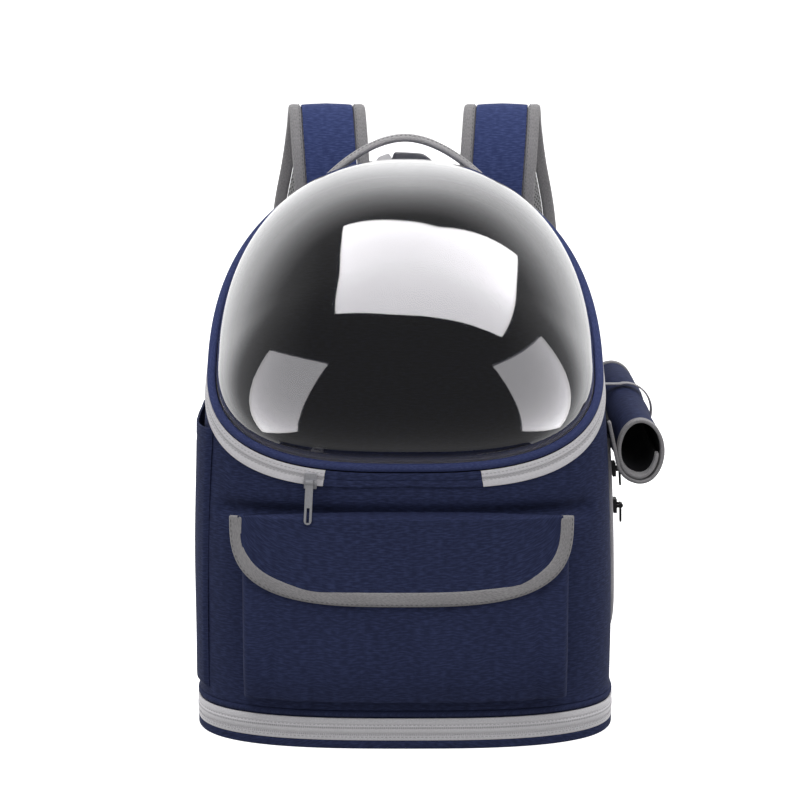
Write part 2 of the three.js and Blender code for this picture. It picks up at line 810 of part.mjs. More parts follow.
// The rolled cover between two places along it, with a cloth of the given thickness
function rollPiece(from, to, cloth) {
  const places = [from, ...rollRows.map((row) => lerp(rollRear, rollFront, row.along)), to];
  const low = Math.min(from, to);
  const high = Math.max(from, to);
  const used = spaced(places.filter((y) => y >= low && y <= high));
  return skin(
    used.map((y) => {
      const row = between(rollRows, "along", (y - rollRear) / (rollFront - rollRear));
      const wallX = sideReach(y, rollRootHeight(row), 0);
      const outer = rollSpiral(row, wallX, cloth / 2);
      const inner = rollSpiral(row, wallX, -cloth / 2);
      outer[0] = [outer[0][0] - cloth / 2, outer[0][1] - cloth / 2];
      inner[0] = [inner[0][0] + cloth / 2, inner[0][1] + cloth / 2];
      return [...outer, ...inner.reverse()].map(([x, z]) => new THREE.Vector3(x, y, z));
    }),
    "sheet",
  );
}

function addWindowRoll() {
  const frontSeam = rollFront + rollBindingWidth;
  const rearSeam = rollRear - rollBindingWidth;
  addMesh("window_roll", rollPiece(frontSeam, rearSeam, rollCloth), navy);
  addMesh("roll_binding_front", rollPiece(rollFront, frontSeam - seamGap, rollBindingCloth), greyBinding);
  addMesh("roll_binding_rear", rollPiece(rearSeam + seamGap, rollRear, rollBindingCloth), greyBinding);

  const row = between(rollRows, "along", (rollTiePlace - rollRear) / (rollFront - rollRear));
  const middleZ = windowTop + rollRadius * row.rise;
  const wallX = sideReach(rollTiePlace, middleZ, 0);
  const lift = rollCloth / 2 + rollTieThickness / 2 + rollTieSlack;
  const wide = rollRadius * row.wide + lift;
  const tall = rollRadius * row.tall + lift;
  const sewnInside = wallX - clothWall;
  const path = [new THREE.Vector3(sewnInside, rollTiePlace, middleZ + tall)];
  const steps = 10;
  for (let i = 0; i <= steps; i++) {
    const turn = radians(lerp(rollTieTopAngle, rollTieFootAngle, i / steps));
    const x = wallX + rollRadius * row.out + wide * Math.cos(turn);
    path.push(new THREE.Vector3(x, rollTiePlace, middleZ + tall * Math.sin(turn)));
  }
  path.push(new THREE.Vector3(sewnInside, rollTiePlace, middleZ - tall));
  const half = rollTieThickness / 2;
  const band = stripSection(-rollTieWidth / 2, rollTieWidth / 2, -half, half, half / 2);
  addMesh("roll_tie", strip(path, band, acrossY).subtract(bodyForm(seamGap, bodyFoot)), paleZip);
}

// A patch pocket sewn round its sides and foot, which stands open at the rim
function addSidePocket() {
  const steps = 11;
  const onLeft = (place, height, outset) => outlinePoint(place, height, outset).multiply(leftwards);
  const places = Array.from({ length: steps + 1 }, (_, i) => {
    return lerp(sidePocketFrontPlace, sidePocketRearPlace, i / steps);
  });
  const heightOf = (share, level) => {
    return lerp(sidePocketBottom, sidePocketRim + sidePocketRimRise * share, level);
  };
  const pocketWall = (cloth, level) =>
    places.map((place, i) => {
      const share = i / steps;
      const slack = lerp(sidePocketFootSlack, 1, Math.min(1, level) ** sidePocketSlackExponent);
      const stand = sidePocketBulge * slack * Math.sin(Math.PI * share) ** sidePocketStandExponent;
      return onLeft(place, heightOf(share, level), seamGap + stand + cloth);
    });
  const bodySide = (outset, level) => {
    const wall = places.map((place, i) => onLeft(place, heightOf(i / steps, level), outset));
    return wall.reverse();
  };
  const solid = (levels, cloth, outset) =>
    skin(
      levels.map((level) => [...pocketWall(cloth, level), ...bodySide(outset, level)]),
      "sheet",
    );
  const whole = solid([0, 0.25, 0.5, 0.75, 1], sidePocketCloth, seamGap);
  const floorLevel = sidePocketCloth / (sidePocketRim - sidePocketBottom);
  const inside = solid([floorLevel, 0.25, 0.5, 0.75, 1.02], 0, -1);
  addMesh("side_pocket", whole.subtract(inside).subtract(bodyForm(seamGap, bodyFoot)), navy);
}

// A slider and its pull, in a frame whose Y points off the tape and whose Z is up
function addSlider(name, frame, pullLength, lean, finish) {
  const bar = new THREE.CylinderGeometry(pullBarRadius, pullBarRadius, sliderWidth, 6);
  bar.rotateZ(Math.PI / 2).translate(0, sliderBarOut, 0);
  const postTop = sliderBarOut + pullBarRadius;
  const post = (side) =>
    block(
      [sliderPost, postTop, pullBarRadius * 3],
      [(side * (sliderWidth - sliderPost)) / 2, postTop / 2, 0],
    );
  const plate = block([sliderWidth, sliderThickness, sliderHeight], [0, sliderThickness / 2, 0]);
  addMesh(name + "_slider", plate.add(solidOf(bar)).add(post(-1)).add(post(1)), finish, frame);

  const eyeWidth = sliderWidth - 2 * sliderPost - 2 * seamGap;
  const eyeHole = pullBarRadius + seamGap;
  const eyeOuter = eyeHole + pullEyeWall;
  const cylinder = (radius, width) => {
    return solidOf(new THREE.CylinderGeometry(radius, radius, width, 8).rotateZ(Math.PI / 2));
  };
  const tongue = pullLength - pullWidth / 2;
  const shank = block([pullWidth, pullThickness, tongue], [0, 0, -tongue / 2]);
  const neck = block([eyeWidth, pullThickness, eyeOuter], [0, 0, -eyeOuter / 2]);
  const shankFrom = block([pullWidth, pullThickness * 2, eyeOuter * 2], [0, 0, 0]);
  const end = new THREE.CylinderGeometry(pullWidth / 2, pullWidth / 2, pullThickness, 12);
  const slotLength = pullLength * 0.35;
  const slot = block([pullWidth * 0.4, pullThickness * 2, slotLength], [0, 0, -pullLength * 0.78]);
  const pull = shank
    .subtract(shankFrom)
    .add(solidOf(end.translate(0, 0, -tongue)))
    .subtract(slot)
    .add(neck)
    .add(cylinder(eyeOuter, eyeWidth))
    .subtract(cylinder(eyeHole, sliderWidth));
  const hanging = new THREE.Group();
  hanging.position.set(0, sliderBarOut, 0);
  hanging.rotation.x = lean;
  frame.add(hanging);
  addMesh(name + "_pull", pull, finish, hanging);
}

// A frame on the body's surface whose Y points outwards and whose Z runs up the wall
function outlineFrame(place, side, z, outset) {
  const mirror = new THREE.Vector3(side, 1, 1);
  const middle = outlinePoint(place, z, outset).multiply(mirror);
  const ahead = outlinePoint(place + 0.01, z, outset).multiply(mirror);
  const above = outlinePoint(place, z + 1, outset).multiply(mirror);
  const up = above.sub(middle).normalize();
  const along = ahead.sub(middle);
  const out = new THREE.Vector3().crossVectors(along, up).multiplyScalar(side).normalize();
  const across = new THREE.Vector3().crossVectors(out, up);
  const frame = new THREE.Group();
  frame.applyMatrix4(new THREE.Matrix4().makeBasis(across, out, up).setPosition(middle));
  bag.add(frame);
  return frame;
}

// The place on the outline's front or side that has a given value along an axis
function placeWhere(axis, value, z, from, to) {
  let low = from;
  let high = to;
  for (let i = 0; i < 30; i++) {
    const middle = (low + high) / 2;
    if (outlinePoint(middle, z, 0)[axis] < value) low = middle;
    else high = middle;
  }
  return low;
}

// The door's slider stands at the left end of its tape, and its pull rests on the flap's upper edge
function addSliders() {
  const doorTapeMiddle = doorPoint(0, 0, doorBandTop).z - doorZipWidth / 2;
  const fromMiddle = hingeWidth / 2 - hingeCentre + doorSliderGap + sliderWidth / 2;
  const place = placeWhere("x", fromMiddle, doorTapeMiddle, 0, 1);
  const tapeOutset = seamGap + zipTapeThickness + seamGap;
  const doorFrame = outlineFrame(place, -1, doorTapeMiddle, tapeOutset);
  const flapFace = flapReach(pocketTop, flapCloth);
  const pullStand = flapFace + doorPullRest + pullThickness / 2 - tapeOutset - sliderBarOut;
  const lean = Math.max(0, Math.atan2(pullStand, doorTapeMiddle - flapTurnFrom));
  addSlider("door", doorFrame, doorPullLength, lean, pullMetal);

  const sideTapeMiddle = windowFront - sideZipWidth / 2;
  for (const [name, drop] of [
    ["upper", upperSliderDrop],
    ["lower", lowerSliderDrop],
  ]) {
    const height = windowTop - drop;
    const where = placeWhere("y", sideTapeMiddle, height, 0, 2);
    const frame = outlineFrame(where, 1, height, seamGap + sideZipThickness + sliderSeat);
    addSlider("side_" + name, frame, sidePullLength, 0, blackPlastic);
  }
}

function addBackPad() {
  const backPadTop = strapTop * strapRows[0].height - backPadBelowStraps;
  const inner = backPadWidth / 2 - backPadRadius;
  const corner = (x, z, from) =>
    Array.from({ length: 6 }, (_, i) => {
      const angle = from + ((Math.PI / 2) * i) / 5;
      return [x + backPadRadius * Math.cos(angle), z + backPadRadius * Math.sin(angle)];
    });
  const outline = [
    ...corner(inner, backPadTop - backPadRadius, 0),
    ...corner(-inner, backPadTop - backPadRadius, Math.PI / 2),
    ...corner(-inner, backPadBottom + backPadRadius, Math.PI),
    ...corner(inner, backPadBottom + backPadRadius, Math.PI * 1.5),
  ];
  const middleZ = (backPadTop + backPadBottom) / 2;
  const ring = (y, share) =>
    outline.map(([x, z]) => new THREE.Vector3(x * share, y, lerp(middleZ, z, share)));
  const foot = back + seamGap;
  const pad = skin([
    ring(foot, 1),
    ring(foot + backPadThickness * 0.5, 1),
    ring(foot + backPadThickness * 0.85, 0.985),
    ring(foot + backPadThickness, 0.95),
  ]);
  addMesh("back_pad", pad, darkMesh);
}

function addStrap(side, name, root) {
  const path = strapRows.map(({ reach, height, splay }) => {
    const x = side * (root + strapSplay * splay);
    return new THREE.Vector3(x, back + reach * strapReach, height * strapTop);
  });
  const half = strapThickness / 2;
  const field = strapWidth / 2 - strapEdgeWidth - seamGap;
  const split = half - strapFaceThickness;
  const layer = (bottom, top) => [
    [-field, bottom],
    [field, bottom],
    [field, top],
    [-field, top],
  ];
  addMesh(name + "_face", strip(path, layer(split + seamGap, half), acrossX), strapNavy);
  addMesh(name + "_mesh", strip(path, layer(-half, split), acrossX), paleMesh);
  const edgeHalf = strapEdgeThickness / 2;
  for (const [edge, sign] of [
    ["inner", -side],
    ["outer", side],
  ]) {
    const from = strapWidth / 2 - strapEdgeWidth;
    const [left, right] = [sign * from, (sign * strapWidth) / 2].sort((a, b) => a - b);
    const section = stripSection(left, right, -edgeHalf, edgeHalf, strapEdgeRounding);
    addMesh(name + "_" + edge + "_edge", strip(path, section, acrossX), greyBinding);
  }

  // Buckle frame below the padding, in line with the last stretch of the strap
  const padEnd = path.at(-1);
  const tape = webbingThickness / 2;
  const anchorFace = back + seamGap + anchorThickness;
  const anchor = new THREE.Vector3(side * anchorOut, anchorFace + tape + 2 * seamGap, anchorHeight);
  const down = new THREE.Vector3().subVectors(padEnd, path.at(-2)).normalize();
  const across = acrossX.clone().addScaledVector(down, -acrossX.dot(down)).normalize();
  const off = new THREE.Vector3().crossVectors(across, down);
  const at = (along, stand) => padEnd.clone().addScaledVector(down, along).addScaledVector(off, stand);
  const turned = new THREE.Matrix4().makeBasis(across, down, off);
  const buckleAt = buckleDrop + buckleLength / 2;
  const bars = (buckleLength - 2 * buckleSlot) / 3;
  const slotAt = (bars + buckleSlot) / 2;
  const slot = (along) => block([webbingWidth + 1.2, buckleSlot, buckleThickness * 2], [0, along, 0]);
  const buckle = block([buckleWidth, buckleLength, buckleThickness], [0, 0, 0])
    .subtract(slot(-slotAt))
    .subtract(slot(slotAt));
  const placed = new THREE.Group();
  placed.applyMatrix4(turned.setPosition(at(buckleAt, 0)));
  bag.add(placed);
  addMesh(name + "_buckle", buckle, blackPlastic, placed);

  // Webbing: a tab from the padding round the upper bar, and a strap from the lower bar to the anchor
  const section = stripSection(-webbingWidth / 2, webbingWidth / 2, -tape, tape, tape / 2);
  const clear = buckleThickness / 2 + tape + webbingPlay;
  const upperBar = buckleAt - buckleLength / 2;
  const hookUpper = buckleAt - slotAt;
  const tab = [
    at(seamGap + 0.2, clear),
    at(upperBar, clear),
    at(hookUpper - 0.8, clear),
    at(hookUpper, clear * 0.4),
    at(hookUpper, -clear * 0.4),
    at(hookUpper - 0.8, -clear),
    at(upperBar, -clear),
    at(seamGap + 0.2, -clear),
  ];
  addMesh(name + "_tab", strip(tab, section, across), blackPlastic);

  const hookLower = buckleAt + slotAt;
  const tail = buckleAt + buckleLength * 1.8;
  const lower = [
    at(tail, clear),
    at(buckleAt + buckleLength / 2, clear),
    at(hookLower + 0.8, clear),
    at(hookLower, clear * 0.4),
    at(hookLower, -clear * 0.4),
    at(hookLower + 0.8, -clear),
    at(buckleAt + buckleLength / 2 + 2, -clear),
    anchor.clone().add(new THREE.Vector3(0, 0, anchorLength * 0.3)),
    anchor.clone().add(new THREE.Vector3(0, 0, -anchorLength * 0.3)),
  ];
  addMesh(name + "_webbing", strip(lower, section, across), blackPlastic);
  const plate = block(
    [anchorWidth, anchorThickness, anchorLength],
    [side * anchorOut, back + seamGap + anchorThickness / 2, anchorHeight],
  );
  addMesh(name + "_anchor", plate, navy);
}

addBase();
addBodyShell();
addDoor();
addFrontPocket();
addFlap();
addTopLoops();
addWindowRoll();
addSidePocket();
addSliders();
addBackPad();
addStrap(-1, "strap_left", strapRootLeft);
addStrap(1, "strap_right", strapRootRight);

export default bag;
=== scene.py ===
# Pet carrier backpack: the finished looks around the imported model, in metres.
import math

import bpy
import numpy as np
from mathutils import Matrix


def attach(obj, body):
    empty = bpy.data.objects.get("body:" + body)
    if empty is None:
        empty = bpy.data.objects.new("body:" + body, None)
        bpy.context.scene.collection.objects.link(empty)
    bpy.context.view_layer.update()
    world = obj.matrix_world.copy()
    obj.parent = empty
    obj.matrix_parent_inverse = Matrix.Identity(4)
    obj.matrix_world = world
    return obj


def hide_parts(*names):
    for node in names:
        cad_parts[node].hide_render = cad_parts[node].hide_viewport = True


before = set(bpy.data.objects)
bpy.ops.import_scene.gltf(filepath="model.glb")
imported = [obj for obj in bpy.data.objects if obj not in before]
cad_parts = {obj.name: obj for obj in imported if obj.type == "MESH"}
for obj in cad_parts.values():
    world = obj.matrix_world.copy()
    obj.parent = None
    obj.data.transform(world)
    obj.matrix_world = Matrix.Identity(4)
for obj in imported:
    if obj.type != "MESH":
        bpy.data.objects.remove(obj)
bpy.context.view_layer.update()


# Camera. The photograph's viewpoint stands in front of the carrier, a little above it,
# and looks down at it by ten degrees.
camera = bpy.data.objects.new("camera", bpy.data.cameras.new("camera"))
camera.data.sensor_width = 36
camera.data.lens = 72.7
camera.location = (-0.004, -1.2803, 0.4677)
camera.rotation_euler = (math.radians(80), 0, 0)
bpy.context.scene.collection.objects.link(camera)
bpy.context.scene.camera = camera
bpy.context.scene.view_settings.view_transform = "Standard"


# Floor and studio light. A pale paper floor runs out on all sides, soft boxes hang in front and
# to the sides, and the room is white where the camera sees it and darker where the dome mirrors it.
class Amount:
    """A number that varies over a surface. Arithmetic on it adds Math nodes."""

    def __init__(self, finish, socket):
        self.finish = finish
        self.socket = socket

    def math(self, operation, *values, clamp=False):
        sockets = dict(enumerate(values))
        settings = {"operation": operation, "use_clamp": clamp}
        return Amount(self.finish, self.finish.node("ShaderNodeMath", settings, sockets).outputs[0])

    def __add__(self, other):
        return self.math("ADD", self, other)

    def __radd__(self, other):
        return self.math("ADD", other, self)

    def __sub__(self, other):
        return self.math("SUBTRACT", self, other)

    def __rsub__(self, other):
        return self.math("SUBTRACT", other, self)

    def __mul__(self, other):
        return self.math("MULTIPLY", self, other)

    def __rmul__(self, other):
        return self.math("MULTIPLY", other, self)

    def __truediv__(self, other):
        return self.math("DIVIDE", self, other)

    def __pow__(self, power):
        return self.math("POWER", self, power)

    def absolute(self):
        return self.math("ABSOLUTE", self)

    def sine(self):
        return self.math("SINE", self)

    def clamped(self):
        return self.math("ADD", self, 0, clamp=True)

    def band(self, middle, half):
        """1 in the middle of a band, down to 0 at its edges."""
        return (1 - (self - middle).absolute() / half).clamped()

    def waves(self, length):
        """From 0 to 1 and back in each length."""
        return (self * (2 * math.pi / length)).sine() * 0.5 + 0.5


class Finish:
    """A node tree being made: node() adds any node to it."""

    def __init__(self, tree):
        self.tree = tree

    def node(self, kind, settings=None, sockets=None):
        made = self.tree.nodes.new(kind)
        for name, value in (settings or {}).items():
            if name == "stops":
                ramp = made.color_ramp
                while len(ramp.elements) < len(value):
                    ramp.elements.new(1)
                for element, (place, colour) in zip(ramp.elements, value):
                    element.position = place
                    element.color = colour
            else:
                setattr(made, name, value)
        for name, value in (sockets or {}).items():
            if isinstance(value, Amount):
                value = value.socket
            if isinstance(value, bpy.types.NodeSocket):
                self.tree.links.new(value, made.inputs[name])
            else:
                made.inputs[name].default_value = value
        return made


def tone(red, green, blue):
    """A linear colour from one of 0 to 255 a channel."""
    shares = [channel / 255 for channel in (red, green, blue)]
    return tuple(s / 12.92 if s < 0.04045 else ((s + 0.055) / 1.055) ** 2.4 for s in shares) + (1,)


def components(finish, vector):
    """A vector's three components."""
    split = finish.node("ShaderNodeSeparateXYZ", None, {0: vector})
    return [Amount(finish, output) for output in split.outputs]


def start_finish(name, **surface):
    """A material with its Principled shader's fixed values set, and its node tree to add to."""
    material = bpy.data.materials.new(name)
    material.use_nodes = True
    shader = material.node_tree.nodes["Principled BSDF"]
    for socket, value in surface.items():
        shader.inputs[socket.replace("_", " ")].default_value = value
    return material, Finish(material.node_tree)


world = bpy.data.worlds.new("studio")
bpy.context.scene.world = world
world.use_nodes = True
room = Finish(world.node_tree)
room.tree.nodes.clear()
seen_straight = room.node("ShaderNodeLightPath").outputs["Is Camera Ray"]
sideways, backwards, _ = components(room, room.node("ShaderNodeTexCoord").outputs["Generated"])
to_side = sideways.absolute()
wall_behind = ((backwards + 0.02) / 0.42).clamped() * (1.35 - 0.75 * to_side)
walls_beside = ((to_side - 0.45) / 0.5).clamped() * 0.25
room_light = wall_behind + walls_beside + 0.26
backdrop = room_light + Amount(room, seen_straight) * (1.2 - room_light)
glow = room.node("ShaderNodeBackground", None, {"Color": (1, 1, 1, 1), "Strength": backdrop})
room.node("ShaderNodeOutputWorld", None, {"Surface": glow.outputs[0]})


def lamp(name, place, size, power):
    """A soft box that looks at the carrier from its place. No mirror image shows it."""
    light = bpy.data.lights.new(name, "AREA")
    light.shape = "RECTANGLE"
    light.size, light.size_y = size
    light.energy = power
    box = bpy.data.objects.new(name, light)
    box.location = place
    away = np.array(place) - (0, 0, 0.2)
    box.rotation_euler = (math.atan2(math.hypot(away[0], away[1]), away[2]), 0, math.atan2(away[0], -away[1]))
    box.visible_glossy = box.visible_camera = False
    bpy.context.scene.collection.objects.link(box)


lamp("top_box", (0.0, -0.9, 2.3), (2.2, 1.6), 26)
for name, place in [("left_box", (-2.0, -1.6, 1.2)), ("right_box", (2.0, -1.6, 1.2))]:
    lamp(name, place, (1.2, 1.6), 9)

bpy.ops.mesh.primitive_plane_add(size=60)
floor = bpy.context.object
floor.name = "floor"
floor.visible_glossy = floor.visible_diffuse = False
paper = {"Base_Color": (0.93, 0.93, 0.93, 1), "Roughness": 0.9, "Emission_Color": (1, 1, 1, 1)}
floor.data.materials.append(start_finish("paper_floor", Emission_Strength=0.8, **paper)[0])

dome_alone = bpy.data.collections.new("dome_alone")


def outlined(name, corners):
    """One flat face with the given corners."""
    bpy.ops.mesh.primitive_circle_add(vertices=len(corners), fill_type="NGON")
    made = bpy.context.object
    made.name = name
    for vertex, corner in zip(made.data.vertices, corners):
        vertex.co = corner
    return made


def mirrored_panel(name, brightness, corners):
    """A soft box face that only the dome's mirror images show."""
    shining = {"Emission_Color": (1, 0.98, 1, 1), "Emission_Strength": brightness}
    made = outlined(name, corners)
    made.visible_camera = made.visible_diffuse = made.visible_shadow = False
    made.light_linking.receiver_collection = dome_alone
    made.data.materials.append(start_finish(name, Base_Color=(0, 0, 0, 1), **shining)[0])


mirrored_panel("front_panel", 11, [
    (-0.369, -0.102, 1.334), (0.16, -0.20, 1.24), (0.709, -0.010, 1.138),
    (0.534, -0.868, 0.817), (-0.339, -0.794, 1.026),
])
mirrored_panel("left_panel", 4.6, [
    (-0.700, -0.465, 0.580), (-0.288, -0.899, 0.443), (-0.412, -0.457, -0.408), (-0.580, -0.110, -0.340),
])
mirrored_panel("right_panel", 4.6, [
    (0.353, -0.882, 0.412), (0.705, -0.355, 0.685), (0.640, 0.000, -0.255), (0.472, -0.420, -0.392),
])


# Body. The shell is sewn from heathered navy cloth on a stiff board, with a bowed front, an arched
# top and a flat back. It is cut open where the dome door leans back and where the side window is.
half_body, body_foot, spring, body_top = 0.161, 0.0298, 0.284, 0.426
body_front, body_back = -0.1325, 0.1325
corner_depth, back_corner, top_corner = 0.075, 0.028, 0.020
arch_share, arch_power, front_power = 0.922, 2.25, 2.85
board_thickness = 0.0025
door_lean = math.atan(1.25)
door_sill = 0.213
lean_cos, lean_sin = math.cos(door_lean), math.sin(door_lean)

profile_heights = np.linspace(0, 0.45, 901)


def share_between(value, low, high):
    """0 up to the low value and 1 from the high value on."""
    return np.clip((value - low) / (high - low), 0, 1)


def hump(value, middle, width):
    """A smooth hump, 1 at its middle."""
    return np.exp(-(((value - middle) / width) ** 2))


def wall_share(z):
    rise = share_between(z, body_foot, spring)
    return 1 - (1 - arch_share) * rise**2.4


blur = np.hanning(41) / np.hanning(41).sum()
sharp_profile = wall_share(profile_heights) * half_body
above_spring = np.clip((profile_heights - spring) / (body_top - spring), 0, 0.999)
arch_profile = half_body * arch_share * (1 - above_spring**arch_power) ** (1 / arch_power)
sharp_profile = np.where(profile_heights > spring, arch_profile, sharp_profile)
padded_profile = np.concatenate([np.full(20, sharp_profile[0]), sharp_profile, np.full(20, sharp_profile[-1])])
eased = np.convolve(padded_profile, blur, "valid") - sharp_profile
easing = eased * hump(profile_heights, spring, 0.02)


def half_width(z, outset=0.0):
    """Half the body's width at a height, grown by an outset."""
    rise = np.clip((z - spring) / (body_top - spring + outset), 0, 1)
    arch = (half_body * arch_share + outset) * (1 - rise**arch_power) ** (1 / arch_power)
    straight = half_body * wall_share(z) + outset
    return np.where(z > spring, arch, straight) + np.interp(z, profile_heights, easing)


def front_corner(z):
    rise = share_between(z, body_foot, spring)
    return corner_depth * (1 - 0.09 * rise**2)


def front_y(x, z, outset=0.0):
    """How far forward the bowed front lies at a place across and a height."""
    corner = front_corner(z)
    across = np.clip(np.abs(x) / half_width(z, outset), 0, 1)
    return body_front + corner - (corner + outset) * (1 - across**front_power) ** (1 / front_power)


def side_bulge(z, along):
    """How far the side wall swells between the shoulder and the back corner."""
    rise = share_between(z, body_foot, spring)
    return 0.0025 * np.sin(math.pi * (0.17 + 0.83 * rise)) * np.sin(math.pi * along) ** 2


def corner_x(y, z, outset=0.0):
    """How far out the bow of the front and the plain side lie at a depth and a height."""
    corner = front_corner(z)
    share = np.clip((body_front + corner - y) / (corner + outset), 0, 1)
    return half_width(z, outset) * (1 - share**front_power) ** (1 / front_power)


def side_x(y, z, outset=0.0):
    """How far out the right wall lies at a depth and a height."""
    rear = share_between(y, body_front + front_corner(z), body_back - back_corner)
    return corner_x(y, z, outset) + side_bulge(z, rear)


def wall_point(place, z, outset=0.0):
    """A point of the outline: 0 is the front's middle, 1 the shoulder, 2 and 3 the back corner, 4 the middle."""
    side, p = np.sign(place), np.abs(place)
    half = half_width(z, outset)
    corner = front_corner(z)
    shoulder = body_front + corner
    rounding = np.clip((z - (body_top + outset - top_corner)) / top_corner, 0, 1)
    rear = body_back + outset - top_corner * (1 - np.sqrt(1 - rounding**2))
    radius = np.minimum(back_corner + outset, half * 0.9)
    angle = np.clip(p, 0, 1) * math.pi / 2
    front_x = half * np.sin(angle) ** (2 / front_power)
    bow = shoulder - (corner + outset) * np.abs(np.cos(angle)) ** (2 / front_power)
    share = np.clip(p - 1, 0, 1)
    turn = np.clip(p - 2, 0, 1) * math.pi / 2
    parts = [p <= 1, p <= 2, p <= 3]
    across = [front_x, half + side_bulge(z, share), half - radius + radius * np.cos(turn)]
    depth = [bow, shoulder + (rear - radius - shoulder) * share, rear - radius + radius * np.sin(turn)]
    x = np.select(parts, across, (half - radius) * np.clip(4 - p, 0, 1))
    return side * x, np.select(parts, depth, rear), z + 0 * x


def door_point(u, t, w):
    """A point of the leaning door: u is across it, t up its slope and w off it."""
    return u, body_front + t * lean_cos - w * lean_sin, door_sill + t * lean_sin + w * lean_cos


def lay(name, columns, rows, form):
    """A grid laid on a form, which gives x, y and z for shares across and along. Its UV map is in metres."""
    bpy.ops.object.select_all(action="DESELECT")
    bpy.ops.mesh.primitive_grid_add(x_subdivisions=columns, y_subdivisions=rows, size=1)
    piece = bpy.context.object
    piece.name = piece.data.name = name
    mesh = piece.data
    flat = np.empty(len(mesh.vertices) * 3, np.float32)
    mesh.vertices.foreach_get("co", flat)
    u, v = np.clip(flat.reshape(-1, 3)[:, :2].astype(float) + 0.5, 0, 1).round(6).T
    points = np.stack(np.broadcast_arrays(*form(u, v)), 1)
    mesh.vertices.foreach_set("co", points.astype(np.float32).ravel())
    order = np.lexsort((u, v))
    grid = points[order].reshape(-1, len(np.unique(u)), 3)
    across = np.linalg.norm(np.diff(grid, axis=1, prepend=grid[:, :1]), axis=2).cumsum(1)
    across -= across[:, across.shape[1] // 2][:, None]
    along = np.linalg.norm(np.diff(grid, axis=0, prepend=grid[:1]), axis=2).cumsum(0)
    lengths = np.empty((len(points), 2))
    lengths[order] = np.stack([across, along], 2).reshape(-1, 2)
    corners = np.empty(len(mesh.loops), np.int32)
    mesh.loops.foreach_get("vertex_index", corners)
    mesh.uv_layers.active.data.foreach_set("uv", lengths[corners].astype(np.float32).ravel())
    mesh.update()
    return piece


def choose(piece):
    bpy.ops.object.select_all(action="DESELECT")
    piece.select_set(True)
    bpy.context.view_layer.objects.active = piece


def edit(piece, *steps):
    """Runs each step on all of a piece's mesh."""
    choose(piece)
    bpy.ops.object.mode_set(mode="EDIT")
    for step in steps:
        bpy.ops.mesh.select_all(action="SELECT")
        step()
    bpy.ops.object.mode_set(mode="OBJECT")
    return piece


def weld(piece):
    return edit(piece, lambda: bpy.ops.mesh.remove_doubles(threshold=0.00002))


def modify(piece, kind, **settings):
    """Adds a modifier and applies it."""
    choose(piece)
    made = piece.modifiers.new(kind.lower(), kind)
    for name, value in settings.items():
        setattr(made, name, value)
    bpy.ops.object.modifier_apply(modifier=made.name)
    return piece


def thicken(piece, thickness, lining=0):
    return modify(piece, "SOLIDIFY", thickness=thickness, offset=-1, material_offset=lining)


def dress(piece, finishes, replaces=(), angle=38):
    """Gives a piece its materials, its smooth shading and its place in the frame."""
    for finish in finishes if isinstance(finishes, list) else [finishes]:
        piece.data.materials.append(finish)
    choose(piece)
    bpy.ops.object.shade_smooth_by_angle(angle=math.radians(angle))
    if replaces:
        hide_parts(*replaces)
    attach(piece, "bag")
    return piece


def drive(finish, **values):
    """Lets values that vary over the surface set the Principled shader's sockets."""
    shader = finish.tree.nodes["Principled BSDF"]
    for socket, value in values.items():
        finish.tree.links.new(getattr(value, "socket", value), shader.inputs[socket.replace("_", " ")])


def relief(finish, height, strength, distance):
    made = finish.node("ShaderNodeBump", None, {"Height": height, "Strength": strength, "Distance": distance})
    return made.outputs[0]


def noise(finish, vector, scale, detail=2.0, spread=(1, 1, 1)):
    stretched = finish.node("ShaderNodeVectorMath", {"operation": "MULTIPLY"}, {0: vector, 1: spread})
    sockets = {"Vector": stretched.outputs[0], "Scale": scale, "Detail": detail}
    return Amount(finish, finish.node("ShaderNodeTexNoise", None, sockets).outputs[0])


def blend(finish, share, low, high):
    mix = finish.node("ShaderNodeMix", {"data_type": "RGBA"}, {0: share, 6: low, 7: high})
    return mix.outputs[2]


def cloth_uv(finish):
    return finish.node("ShaderNodeUVMap").outputs[0]


def object_place(finish):
    return finish.node("ShaderNodeTexCoord").outputs["Object"]


def contrast(amount, low, high):
    return ((amount - low) / (high - low)).clamped()


def woven(name, dark, light, yarn=0.0011, slub=0.006, fleck=0.5, **surface):
    """Plain-woven cloth: dashes of lighter yarn run across it over a fine rib."""
    material, finish = start_finish(name, Roughness=0.88, **surface)
    place = cloth_uv(finish)
    dashes = noise(finish, place, 1.0, 2.0, (1 / slub, 1 / yarn, 1))
    picks = noise(finish, place, 1.0, 1.0, (0.5 / yarn, 0.22 / slub, 1))
    cloudy = noise(finish, place, 9.0, 3.0)
    flecks = contrast(dashes, 0.42, 0.70) * fleck + contrast(picks, 0.5, 0.75) * (fleck * 0.12)
    shade = (flecks + (cloudy - 0.5) * 0.16 + 0.20).clamped()
    rib = relief(finish, dashes * 0.7 + picks * 0.5, 0.25, 0.0006)
    drive(finish, Base_Color=blend(finish, shade, dark, light), Normal=rib)
    return material


navy_cloth = woven("navy_heather", tone(30, 35, 62), tone(62, 71, 110), Specular_IOR_Level=0.25)
black_lining = woven("black_lining", tone(14, 14, 17), tone(30, 30, 34), fleck=0.3)


def flap_crease(z):
    """How deep the pocket flap's seam draws the front in."""
    return 0.0058 * hump(z, 0.1795, 0.0062)


def soft_relief(place, z):
    """Shallow hollows of the board-backed cloth, its two front seams and its lower pucker."""
    waves = np.sin(place * 5.1 + z * 31) * np.sin(z * 23 - place * 2.3) + np.sin(place * 2.7 - z * 47 + 1)
    seams = hump(np.abs(place), 0.80, 0.006)
    return -0.0004 * (waves * 0.5 + 1) - 0.0009 * seams - flap_crease(z) * np.clip((0.66 - np.abs(place)) / 0.1, 0, 1)


